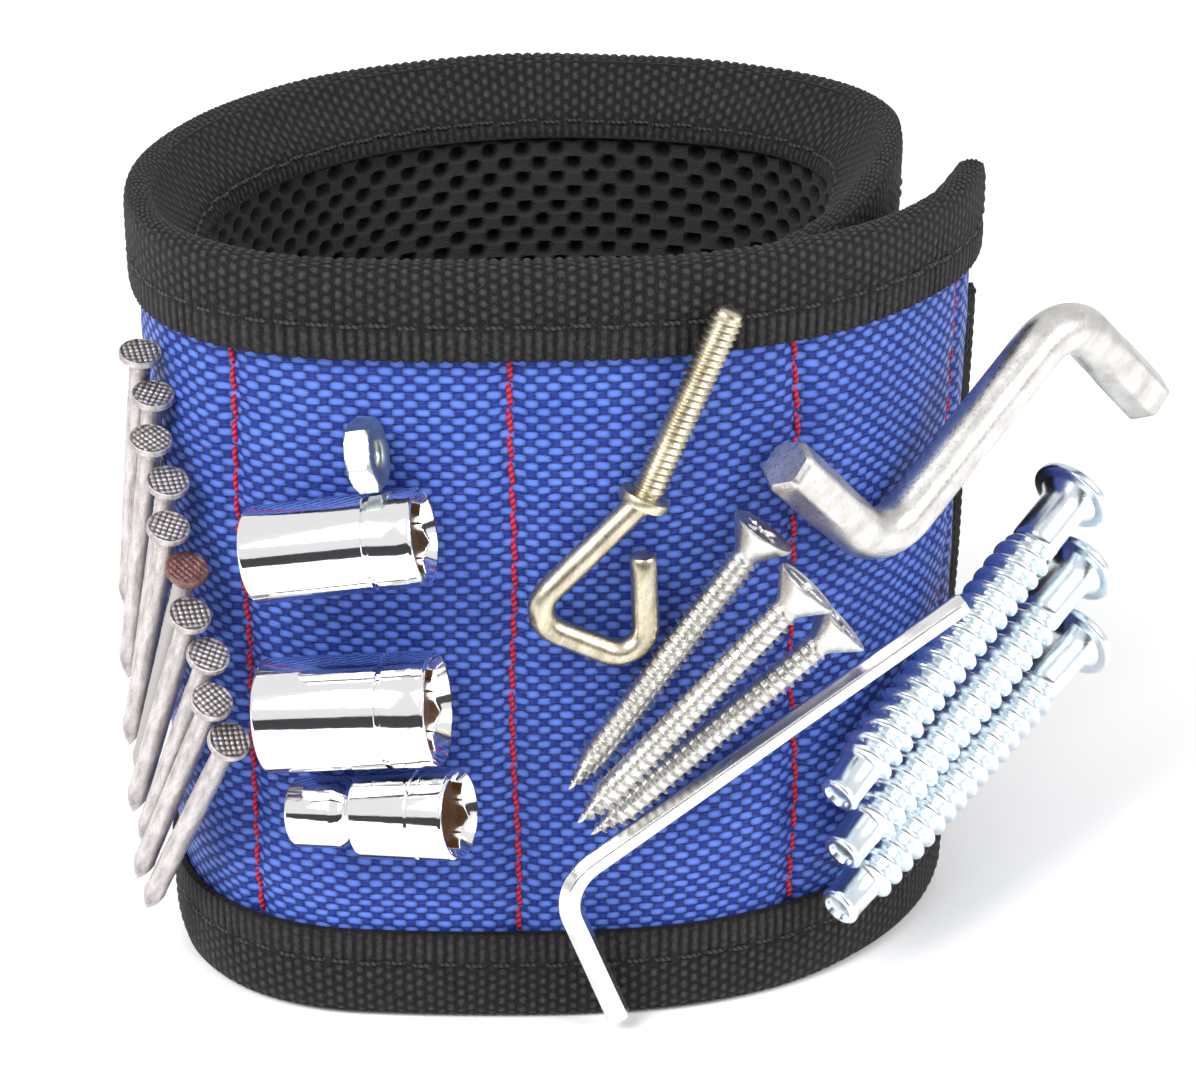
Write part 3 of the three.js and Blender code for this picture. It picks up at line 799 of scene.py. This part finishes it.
def build_strap():
    """One length of webbing from where it is sewn inside the flap to its free end."""
    half = (STRAP[1] - STRAP[0]) / 2
    fine = YARN_PITCH / 4
    section = slab(half, -half, STRAP_FOOT, STRAP_TOP, fine, 0.4, fine)
    length = ROUTE_DISTANCE[-1]

    def relief(distance, run, out, up):
        raised = weave_relief(distance, up, 0.0)
        edge = np.minimum(up - STRAP_FOOT, STRAP_TOP - up)
        fuzz = 0.1 * np.exp(-edge / 0.8) * ripple(distance, up, 1.9, 51)
        hem = 0.4 * smooth(distance - length + HEM)
        height = 0.3 * raised - 0.18 + fuzz + 0.12 * ripple(distance, up, 25, 52)
        # raised is also the colour mask: the webbing paints shade between the yarns.
        return height + np.where(out > 0, hem, 0), raised

    stations = np.append(np.arange(0.5, length - 0.3, RIB_PITCH / 4), length)
    strap = skin("closure_strap_webbing", section, stations, strap_points, relief,
                 STRAP_WEBBING)
    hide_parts("closure_strap", "strap_anchor")
    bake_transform(strap)
    build_strap_stitches(length)


def build_strap_stitches(length):
    stitch, gap, inset = 2.4, 0.4, 2.2
    out = (STRAP[1] - STRAP[0]) / 2
    runs, outs = [], []

    def add(first, last):
        runs.append([strap_points(d, out + raised, up) for d, up, raised in (first, last)])
        x, y, dx, dy = route_at((first[0] + last[0]) / 2)
        outs.append(np.array([dy, -dx, 0.0]))

    for up in (STRAP_FOOT + inset, STRAP_TOP - inset):
        for start in np.arange(16, length - 4, stitch + gap):
            raised = 0.35 if start > length - HEM - 1 else -0.05
            add((start, up, raised), (start + stitch, up, raised))
    for distance in (length - 10.5, length - 2.2):
        for up in np.arange(STRAP_FOOT + 3, STRAP_TOP - 5, stitch + gap):
            add((distance, up, 0.35), (distance, up + stitch, 0.35))
    thread = stitches("closure_strap_stitches", runs, outs, 0.22, BLACK_THREAD)
    settle(thread, "strap", slot="strap_webbing")


def build_loop_patch():
    """The soft half of the fastener, sewn to the back of the band."""
    foot, top = STRAP_FOOT - 3, STRAP_TOP + 3
    section = slab(BINDING[1], BINDING[0], foot, top, 0.5, 0.4, 3)

    def relief(along, run, out, up):
        face = out > sum(BINDING) / 2
        pile = 0.16 * ripple(along, up, 1.7, 61) + 0.14 * ripple(along, up, 2.9, 62)
        return np.where(face, pile - 0.05, 0), 1.0

    stations = np.arange(LOOP_PATCH[0], LOOP_PATCH[1] + 0.1, 0.5)
    patch = skin("loop_patch_pile", section, stations, along_band, relief, TAPE)
    settle(patch, "band", "loop_patch")


def build_hook_tape():
    """The stiff half: a backing with rows of bent hooks on the side that faces the band."""
    foot, top = STRAP_FOOT + 2, STRAP_TOP - 2
    first, last = STRAP_FAR_END + 2, 232
    backing = HOOK_TAPE[1] - 0.35
    section = slab(HOOK_TAPE[1], backing, foot, top, 1.5, 0.5, 1.5)
    stations = np.linspace(first, last, 30)
    ring = section[:, :2]
    points = [band_points(stations[:, None], ring[:, 0], ring[:, 1]).reshape(-1, 3)]
    faces = tube_faces(len(stations), len(ring))
    angles = angles_of(4)
    done = len(points[0])
    for row, up in enumerate(np.arange(foot + 1, top - 0.5, 1.4)):
        for along in np.arange(first + 1 + 0.7 * (row % 2), last - 1, 1.4):
            bend = np.array([(0, 0), (0, 0.3), (0.1, 0.45), (0.3, 0.36)])
            a = along + bend[:, 0:1] + 0.09 * np.cos(angles)
            out = backing - bend[:, 1:2] + 0 * a
            hook = band_points(a, out, up + 0.09 * np.sin(angles) + 0 * a)
            points.append(hook.reshape(-1, 3))
            faces += tube_faces(4, 4, done)
            done += 16
    tape = make_object("hook_tape_hooks", np.concatenate(points), faces, TAPE)
    settle(tape, "strap", "hook_tape")


# ---- Turned and bent metal
def on_band(at, up, off, turn, right=0.0, tilt=0.0):
    """The frame of a piece on the band's outer face: a 4 by 4 matrix in millimetres."""
    lean = atan(WALL_LEAN / BAND_HEIGHT)
    outward = outward_at(at)
    across = np.array([-outward[1], outward[0], 0])
    rise = np.array([0, 0, cos(lean)]) + outward * sin(lean)
    normal = np.cross(across, rise)
    start = band_points(at, SHELL[1], 0)
    frame_matrix = np.eye(4)
    frame_matrix[:3, :3] = np.stack([across, rise, normal], 1)
    frame_matrix[:3, 3] = start + across * right + rise * up + normal * off
    spin = Matrix.Rotation(radians(turn), 4, "Z") @ Matrix.Rotation(
        radians(tilt), 4, "Y")
    return frame_matrix @ np.array(spin)


def metal_piece(name, rings, matrix, material, body, node, mask=None, closed=False):
    """A piece from rings of local points, in its place on the band."""
    rings = np.asarray(rings, float)
    local = rings.reshape(-1, 3)
    world = local @ matrix[:3, :3].T + matrix[:3, 3]
    spread_mask = np.zeros(rings.shape[:2])
    if mask is not None:
        spread_mask += np.asarray(mask, float).reshape(len(rings), -1)
    spread_mask = spread_mask.ravel()
    faces = tube_faces(*rings.shape[:2], closed=closed)
    piece = make_object(name, world, faces, material, local=local, mask=spread_mask)
    settle(piece, body, node)


def lathe(profile, sides):
    """Rings about X from (x, radius) pairs; either may be an array over the angles."""
    angles = angles_of(sides)
    rings = []
    for x, radius in profile:
        x, radius = (np.broadcast_to(np.asarray(v, float), angles.shape) for v in (x, radius))
        rings.append(np.stack([x, radius * np.cos(angles), radius * np.sin(angles)], -1))
    return rings


def polygon(sides, flats, count, flat_at=90):
    """A regular polygon's radius at count angles, with a flat facing the angle flat_at."""
    half = pi / sides
    angles = angles_of(count) - radians(flat_at)
    return flats / 2 / np.cos(np.mod(angles + half, 2 * half) - half)


def thread_rings(start, end, core, crest, pitch, shape, sides, per_turn, run_out):
    """Profile of a helical thread: its radius follows shape(place within the pitch), and it
    grows out of the core at the start and dies away at the end over run_out."""
    angles = angles_of(sides)
    count = ceil((end - start) / pitch * per_turn)
    rings = []
    for x in np.linspace(start, end, count + 1):
        fade = smooth(np.array([(x - start) / run_out, (end - x) / run_out])).min()
        place = np.mod(x / pitch - angles / TURN, 1)
        root, top = (v(x) if callable(v) else v for v in (core, crest))
        rings.append((x, root + (top - root) * shape(place) * fade))
    return rings


def vee(place):
    return 1 - np.abs(2 * place - 1)


def sharp_crest(place):
    return np.clip(1 - np.abs(place - 0.5) / 0.2, 0, 1) ** 1.2


def round_crest(place):
    return np.clip((1 - np.cos(TURN * place)) / 1.5 - 0.25, 0, 1) ** 0.7


def corner_rings(x, radius, size, first, last, steps=3):
    """A rounded edge of a turned piece: from first to last degrees round the corner whose
    centre is (x, radius)."""
    return [(x + size * cos(radians(angle)), radius + size * sin(
        radians(angle))) for angle in np.linspace(first, last, steps)]


def build_nails():
    length, shank, head, head_depth, sides = 37.0, 1.2, 2.35, 0.7, 56
    half = length / 2
    angles = angles_of(sides)
    checker = 0.62                # pitch of the raised squares on a nail's head
    head_rows = 8                 # rings from the edge of the head to the start of the grip
    square = polygon(4, 2 * shank * 0.86, sides, 45)
    for i in range(NAIL_COUNT):
        profile, mask = [], []
        for radius in np.linspace(0.05, head - 0.16, 20):
            a, b = radius * np.cos(angles + i), radius * np.sin(angles + i)
            raised = np.abs(np.sin(pi * a / checker) * np.sin(pi * b / checker)) ** 0.6
            profile.append((-half + 0.2 - 0.2 * raised, radius))
            # Low between the raised squares: the nail steel's painted shade in the head's
            # grooves.
            mask.append(1 - smooth((raised - 0.2) / 0.5))
        profile += corner_rings(-half + 0.2, head - 0.16, 0.16, 180, 90)
        profile += [(-half + head_depth, head), (-half + head_depth + 0.15, head - 0.3),
                    (-half + head_depth + 0.7, shank + 0.12)]
        for x in np.arange(-half + 1.9, -half + 6.5, 0.25):
            grip = 0.09 * abs(sin(pi * x))
            profile.append((x, shank - grip * (np.abs(np.sin(angles)) > 0.4)))
        profile += [(x, shank * (1 + 0.012 * sin(3.1 * x + i)))
                    for x in np.arange(-half + 6.8, half - 4.2, 1.2)]
        for t in np.linspace(0, 1, 8):
            blade = shank * (1 - t) + np.minimum(square, shank * 1.15) * t
            profile.append((half - 4 + 3.9 * t, blade * (1 - t ** 1.4) + 0.06))
        layer = 3 if i % 2 == 0 else 2
        place = on_band(111 - 1.8 * i + 0.05 * i * i, 58 - 3.7 * i - 0.02 * i * i,
                        layer + 0.5 * i, -108 - 2.4 * i + 0.05 * i * i, tilt=i - 3)
        rusty = i + 1 == RUSTY_NAIL
        rest = len(profile) - len(mask)
        shaft = [0.0] * head_rows + [1.0 if rusty else 0.0] * (rest - head_rows)
        mask = np.array([row * (not rusty) for row in mask] + [np.full(sides, m) for m in shaft])
        metal_piece(f"wire_nail_{i + 1}", lathe(profile, sides), place,
                    RUST if rusty else NAIL, "nails", f"nail_{i + 1}", mask)


def socket_profile(body, length, radius, drive_flats, mouth_flats, sides):
    """Inside and outside of a socket in one run, from the bottom of its square drive, round
    the body, to the bottom of its hexagonal mouth, with a mask of 1 inside the mouth."""
    half = length / 2
    square = np.minimum(polygon(4, drive_flats, sides), drive_flats * 0.65)
    hexagon = polygon(6, mouth_flats, sides)
    drive_depth, mouth_depth, lip = 7.0, 9.0, radius - 0.3
    profile = [(-half + drive_depth, square * 0.02), (-half + drive_depth, square * 0.97)]
    profile += [(-half + drive_depth - 0.2, square), (-half + 0.5, square),
                (-half + 0.15, square * 1.02),
                (-half, np.maximum(square * 1.06, drive_flats * 0.55))]
    profile += body
    mask = [0.8] * 4 + [0.2] * 2 + [0.0] * len(body)
    for depth in np.linspace(0, lip - mouth_flats / 2, 9):
        profile.append((half - depth, np.maximum(hexagon, lip - depth)))
        mask.append(0.0)
    foot = half - mouth_depth
    profile += [(foot + 6.0, hexagon), (foot + 0.3, hexagon), (foot, hexagon * 0.96),
                (foot, hexagon * 0.5), (foot - 1.2, hexagon * 0.02)]
    mask += [1.0] * 5
    return profile, mask


def build_sockets():
    sides = 96
    groove, edge = 0.3, 0.45

    def plain(length, radius):
        half = length / 2
        ring_at = half - 5
        body = corner_rings(-half + edge, radius - edge, edge, 180, 90, 5)
        body += [(ring_at - 0.45, radius), (ring_at - 0.3, radius - groove),
                 (ring_at + 0.1, radius - groove), (ring_at + 0.25, radius + 0.04)]
        body += [(half - 1.6, radius + 0.04), (half - 1.4, radius - 0.05)]
        return body + corner_rings(half - edge, radius - edge, edge, 90, 0, 5)

    def stepped(length, radius, neck):
        half = length / 2
        step = -half + length * 0.38
        body = corner_rings(-half + edge, neck - edge, edge, 180, 90, 5)
        body += [(step - 2, neck), (step - 1.7, neck - 0.08), (step - 1.1, neck - 0.5),
                 (step - 0.6, neck - 0.62), (step - 0.1, neck - 0.5), (step + 0.3, neck - 0.1),
                 (step + 0.9, radius - 0.08), (step + 1.2, radius)]
        ring_at = half - 4.2
        body += [(ring_at - 0.2, radius), (ring_at, radius - 0.2), (ring_at + 0.2, radius)]
        return body + corner_rings(half - edge, radius - edge, edge, 90, 0, 5)

    kinds = [
        (plain(19, 5.2), 19, 5.2, 6.35, 7.4, on_band(86, 60.3, 6, 11.2, right=3.3)),
        (plain(19, 6.2), 19, 6.2, 6.35, 8.6, on_band(86, 41.5, 7.1, 7.6, right=4.5)),
        (stepped(19.3, 5, 3.9), 19.3, 5, 4.4, 7, on_band(90, 29.2, 4.7, 9, right=12.1)),
    ]
    for number, (body, length, radius, drive, mouth, place) in enumerate(kinds, 1):
        profile, mask = socket_profile(body, length, radius, drive, mouth, sides)
        metal_piece(f"socket_{number}_chrome", lathe(profile, sides), place, CHROME,
                    f"socket_{number}", f"socket_{number}", mask)


def build_nut():
    """A hexagon nut: flats cut by a cone at each end, and a threaded bore."""
    sides, flats, half, bore = 96, 7.0, 1.4, 1.7
    hexagon = polygon(6, flats, sides, 0)
    thread = thread_rings(-half + 0.3, half - 0.3, bore, bore + 0.3, 0.7, vee, sides, 8, 0.2)
    profile = thread + [(half, bore + 0.35), (half, flats / 2 - 0.1)]
    cone = [(half - depth, np.minimum(hexagon, flats / 2 + depth * 1.8 - 0.05))
            for depth in np.linspace(0, 0.4, 5)]
    profile += cone
    profile += [(-x, r) for x, r in reversed(cone)]
    profile += [(-half, flats / 2 - 0.1), (-half, bore + 0.35)]
    place = on_band(86, 70, 4, 11.2, right=6.2)
    metal_piece("hex_nut_zinc", lathe(profile, sides), place, NUT_ZINC, "hex_nut", "hex_nut",
                closed=True)


def bent_line(corners, bend_radius):
    """A line in the XY plane, straight between its corners with a round bend at each: points
    and directions."""
    spacing, bend_steps = 1.4, 12
    corners = [np.array(c, float) for c in corners]
    points, directions = [], []
    last = corners[0]
    for before, corner, after in zip(corners, corners[1:], corners[2:] + [None]):
        into = (corner - before) / np.linalg.norm(corner - before)
        arc = []
        stop = corner
        if after is not None:
            leave = (after - corner) / np.linalg.norm(after - corner)
            turn = atan2(into[0] * leave[1] - into[1] * leave[0], into @ leave)
            setback = bend_radius * tan(abs(turn) / 2)
            side = np.array([-into[1], into[0]]) * copysign(1, turn)
            stop = corner - into * setback
            centre = stop + side * bend_radius
            for angle in np.linspace(0, turn, bend_steps + 1):
                spin = np.array([[cos(angle), -sin(angle)],
                                 [sin(angle), cos(angle)]])
                arc.append((centre - spin @ side * bend_radius, spin @ into))
        count = max(2, round(np.linalg.norm(stop - last) / spacing))
        straight = [(last + (stop - last) * t, into)
                    for t in np.linspace(0, 1, count, endpoint=after is None)]
        for point, direction in straight + arc[:-1]:
            points.append(point)
            directions.append(direction)
        if arc:
            last = arc[-1][0]
    return np.array(points), np.array(directions)


def bar_rings(corners, bend_radius, radius_at, sides, chamfer=0.5):
    """Rings of a bent bar; radius_at(distance from start, whole length) is over the angles."""
    points, directions = bent_line(corners, bend_radius)
    distance = np.append(0, np.cumsum(np.linalg.norm(np.diff(points, axis=0), axis=1)))
    whole = distance[-1]
    extra = [(points[0], directions[0], 0.0, 0.86),
             (points[0] + directions[0] * chamfer, directions[0], chamfer, 1.0)]
    extra += [(p, d, s, 1.0) for p, d, s in zip(points, directions, distance)
              if chamfer * 1.4 < s < whole - chamfer * 1.4]
    extra += [(points[-1] - directions[-1] * chamfer, directions[-1], whole - chamfer, 1.0),
              (points[-1], directions[-1], whole, 0.86)]
    angles = angles_of(sides)
    rings = []
    for point, direction, s, shrink in extra:
        radius = radius_at(s, whole) * shrink
        side, lift = radius * np.cos(angles), radius * np.sin(angles)
        rings.append(np.stack([point[0] - direction[1] * side,
                               point[1] + direction[0] * side, lift], -1))
    return rings


def build_hook_bolt():
    sides, stem, thread_radius, rod = 40, 22.6, 1.75, 2.9
    place = on_band(52, 64.2, 3.1, 66.7, right=-0.9)
    collar, collar_half = 2.8, 0.6
    profile = [(-collar_half * 2, 1.3), (-collar_half * 1.5, 1.4)]
    profile += corner_rings(-collar_half + 0.2, collar - 0.2, 0.2, 180, 90)
    profile += corner_rings(collar_half - 0.2, collar - 0.2, 0.2, 90, 0)
    profile += [(collar_half + 0.02, thread_radius - 0.2)]
    profile += thread_rings(collar_half + 0.1, stem - 0.5, thread_radius - 0.33,
                            thread_radius + 0.05, 0.8, vee, sides, 12, 0.5)
    profile += [(stem - 0.3, thread_radius - 0.35), (stem, thread_radius - 0.7)]
    metal_piece("hook_bolt_stem", lathe(profile, sides), place, YELLOW_ZINC, "hook_bolt",
                "hook_bolt")

    def radius_at(s, whole):
        return np.full(sides, rod / 2 * (1 + 0.02 * sin(0.8 * s)))

    corners = [(0.4, -0.1), (-17, 6.9), (-17.8, -8.3), (-6, -2.5)]
    rings = bar_rings(corners, 3.0, radius_at, sides, 0.25)
    metal_piece("hook_bolt_rod", rings, place, YELLOW_ZINC, "hook_bolt", "hook_bolt")


def cross_recess(radius, angles, arm, width, depth):
    """How deep a cross-shaped recess is at a place on a screw's head."""
    a, b = np.abs(radius * np.cos(angles)), np.abs(radius * np.sin(angles))
    along, across = np.maximum(a, b), np.minimum(a, b)
    inside = smooth((width / 2 - across) / 0.18) * smooth((arm - along) / 0.25)
    return depth * inside * (1 - 0.45 * along / arm)


def build_wood_screws():
    sides, length, head, thread = 60, 36.0, 3.7, 1.9
    half = length / 2
    angles = angles_of(sides)
    tip = half - 5.5

    def core(x):
        return 1.4 * (1 - 0.8 * float(smooth((x - tip) / 5.3)))

    def crest(x):
        return thread * (1 - 0.72 * float(smooth((x - tip - 0.8) / 4.9))) + 0.12

    places = [(-0.9, 45.6, 4.2, -125.2), (1.2, 42, 8, -132.8), (4.8, 36.9, 4.2, -139)]
    for number, (right, up, off, turn) in enumerate(places, 1):
        profile = []
        for radius in np.linspace(0.04, head - 0.5, 14):
            recess = cross_recess(radius, angles + 0.5 * number, 2.3, 0.95, 1.9)
            rings = 0.03 * sin(radius * 9)
            profile.append((-half + 0.12 + recess + rings, radius))
        profile += [(-half, head - 0.35), (-half, head - 0.12)]
        profile += corner_rings(-half + 0.14, head - 0.12, 0.12, 180, 60)
        profile += [(-half + 0.45, head - 0.1), (-half + 2.9, 1.72), (-half + 3.3, 1.5)]
        profile += thread_rings(-half + 3.5, half - 0.5, core, crest, 1.13, sharp_crest,
                                sides, 12, 0.8)
        profile += [(half - 0.2, 0.16), (half, 0.05)]
        place = on_band(50, up, off, turn, right=right, tilt=2)
        metal_piece(f"wood_screw_{number}_zinc", lathe(profile, sides), place, WHITE_ZINC,
                    "wood_screws", f"wood_screw_{number}")


def build_panel_screws():
    sides, length = 72, 50.0
    head, shoulder, thread, dog, core = 4.8, 2.75, 3.25, 2.1, 2.35
    half = length / 2
    hexagon = polygon(6, 4.0, sides)
    places = [(8.2, 38.3, -152.8), (10.1, 29.5, -155.8), (10.5, 21.2, -159.5)]
    for number, (right, up, turn) in enumerate(places, 1):
        profile = [(-half + 2.6, hexagon * 0.02), (-half + 2.4, hexagon * 0.97),
                   (-half + 0.5, hexagon), (-half + 0.1, hexagon * 1.04),
                   (-half, np.maximum(hexagon * 1.1, 2.6)), (-half, head - 0.5)]
        profile += corner_rings(-half + 0.3, head - 0.3, 0.3, 180, 90, 4)
        profile += corner_rings(-half + 0.75, head - 0.35, 0.35, 90, 0, 4)
        profile += [(-half + 1.25, head - 1.2), (-half + 1.7, shoulder + 0.5),
                    (-half + 2.4, shoulder + 0.08), (-half + 3.2, shoulder),
                    (-half + 8.8, shoulder), (-half + 9.1, shoulder - 0.1),
                    (-half + 9.4, core)]
        profile += thread_rings(-half + 9.5, half - 4.4, core, thread, 2.2, round_crest,
                                sides, 14, 1.2)
        profile += [(half - 4.2, core), (half - 3.9, dog + 0.2), (half - 0.9, dog + 0.2)]
        profile += [(half - 0.75, dog + 0.3), (half - 0.35, dog + 0.3)]
        profile += corner_rings(half - 0.25, dog - 0.15, 0.25, 90, 0)
        profile += [(half, dog - 0.5), (half - 0.5, dog - 0.75), (half - 0.6, 0.1)]
        place = on_band(22, up, 5.1, turn, right=right)
        metal_piece(f"panel_screw_{number}_zinc", lathe(profile, sides), place, BLUE_ZINC,
                    "panel_screws", f"panel_screw_{number}")


def build_keys():
    sides = 72

    def hexagonal(flats, roundness):
        shape = polygon(6, flats, sides)
        soft = np.minimum(shape, flats / 2 * 1.115)
        circle = np.full(sides, flats / 2 * 1.03)

        def radius_at(s, whole):
            share = roundness * float(smooth((min(s, whole - s) - 7) / 6))
            return soft * (1 - share) + circle * share
        return radius_at

    bar, arm, flats, slant = 34.5, 20.0, 5.6, radians(81.7)
    dx, dy = arm * cos(slant), arm * sin(slant)
    corners = [(-bar / 2 - dx, dy), (-bar / 2, 0), (bar / 2, 0), (bar / 2 + dx, -dy)]
    place = on_band(30, 64.3, 3.4, 38.6, right=16.8)
    rings = bar_rings(corners, 6.0, hexagonal(flats, 0.9), sides)
    metal_piece("z_hex_key_bar", rings, place, DULL_ZINC, "z_hex_key", "z_hex_key")
    long_arm, short_arm, flats, corner = 54.4, 19.0, 2.5, radians(98)
    corners = [(long_arm, 0), (0, 0),
               (short_arm * cos(corner), -short_arm * sin(corner))]
    place = on_band(44, 19.5, 2.4, 30.1, right=-19.2)
    rings = bar_rings(corners, 5.0, hexagonal(flats, 0.0), sides, 0.35)
    metal_piece("l_hex_key_bar", rings, place, KEY_PLATING, "l_hex_key", "l_hex_key")


# ---- The stage
def build_stage():
    """A white floor, a dark card that only reflections see, an even sky and two softboxes."""
    reach = 3000
    corners = [(-reach, -reach, 0), (reach, -reach, 0), (reach, reach, 0), (-reach, reach, 0)]
    floor = make_object("floor", corners, [[0, 1, 2, 3]], floor_paint())
    look = Look("black_flag", Base_Color=(0.05, 0.05, 0.055, 1), Roughness=1.0,
                Specular_IOR_Level=0.0)
    corners = [(-500, -245, 2), (500, -245, 2), (500, -245, 90), (-500, -245, 90)]
    flag = make_object("front_flag", corners, [[0, 1, 2, 3]], look.material)
    flag.visible_camera = False
    flag.visible_diffuse = False
    flag.visible_shadow = False

    world = bpy.data.worlds.new("studio")
    world.use_nodes = True
    background = world.node_tree.nodes["Background"]
    background.inputs["Color"].default_value = (1, 1, 1, 1)
    background.inputs["Strength"].default_value = 0.86
    bpy.context.scene.world = world
    add_softbox("key_softbox", (-420, -520, 620), 420, 7.5)
    add_softbox("fill_softbox", (560, -360, 420), 360, 3.0)
    bpy.context.scene.view_settings.view_transform = "Standard"


def add_softbox(name, place, size, power):
    light = bpy.data.lights.new(name, "AREA")
    light.shape = "SQUARE"
    light.size = size * MM
    light.energy = power
    lamp = bpy.data.objects.new(name, light)
    bpy.context.scene.collection.objects.link(lamp)
    aim = np.array([0, 0, BAND_HEIGHT / 2]) - place
    lamp.location = np.array(place) * MM
    lamp.rotation_euler[0] = atan2(hypot(aim[0], aim[1]), -aim[2])
    lamp.rotation_euler[2] = atan2(-aim[0], aim[1])


def build_camera():
    camera = bpy.data.cameras.new("camera")
    camera.sensor_fit = "HORIZONTAL"
    camera.sensor_width = SENSOR_WIDTH
    camera.lens = CAMERA_LENS
    camera.clip_start = 0.01
    camera.clip_end = 20
    holder = bpy.data.objects.new("camera", camera)
    bpy.context.scene.collection.objects.link(holder)
    holder.location = (np.array(CAMERA_AT) + SHIFT) * MM
    holder.rotation_euler = (radians(90 - CAMERA_PITCH), 0, 0)
    bpy.context.scene.camera = holder


# ---- Everything
build_camera()
build_stage()
build_shell()
build_core()
build_lining()
build_binding("top_binding_tape", lambda depth: BAND_HEIGHT - depth, "top_binding")
build_binding("bottom_binding_tape", lambda depth: depth, "bottom_binding")
build_tail_binding()
build_pocket_seams()
build_binding_stitches()
build_strap()
build_loop_patch()
build_hook_tape()
build_nails()
build_sockets()
build_nut()
build_hook_bolt()
build_wood_screws()
build_panel_screws()
build_keys()
for number in range(1, MAGNET_COUNT + 1):
    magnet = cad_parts[f"disc_magnet_{number}"]
    magnet.data.materials.clear()
    magnet.data.materials.append(MAGNET)
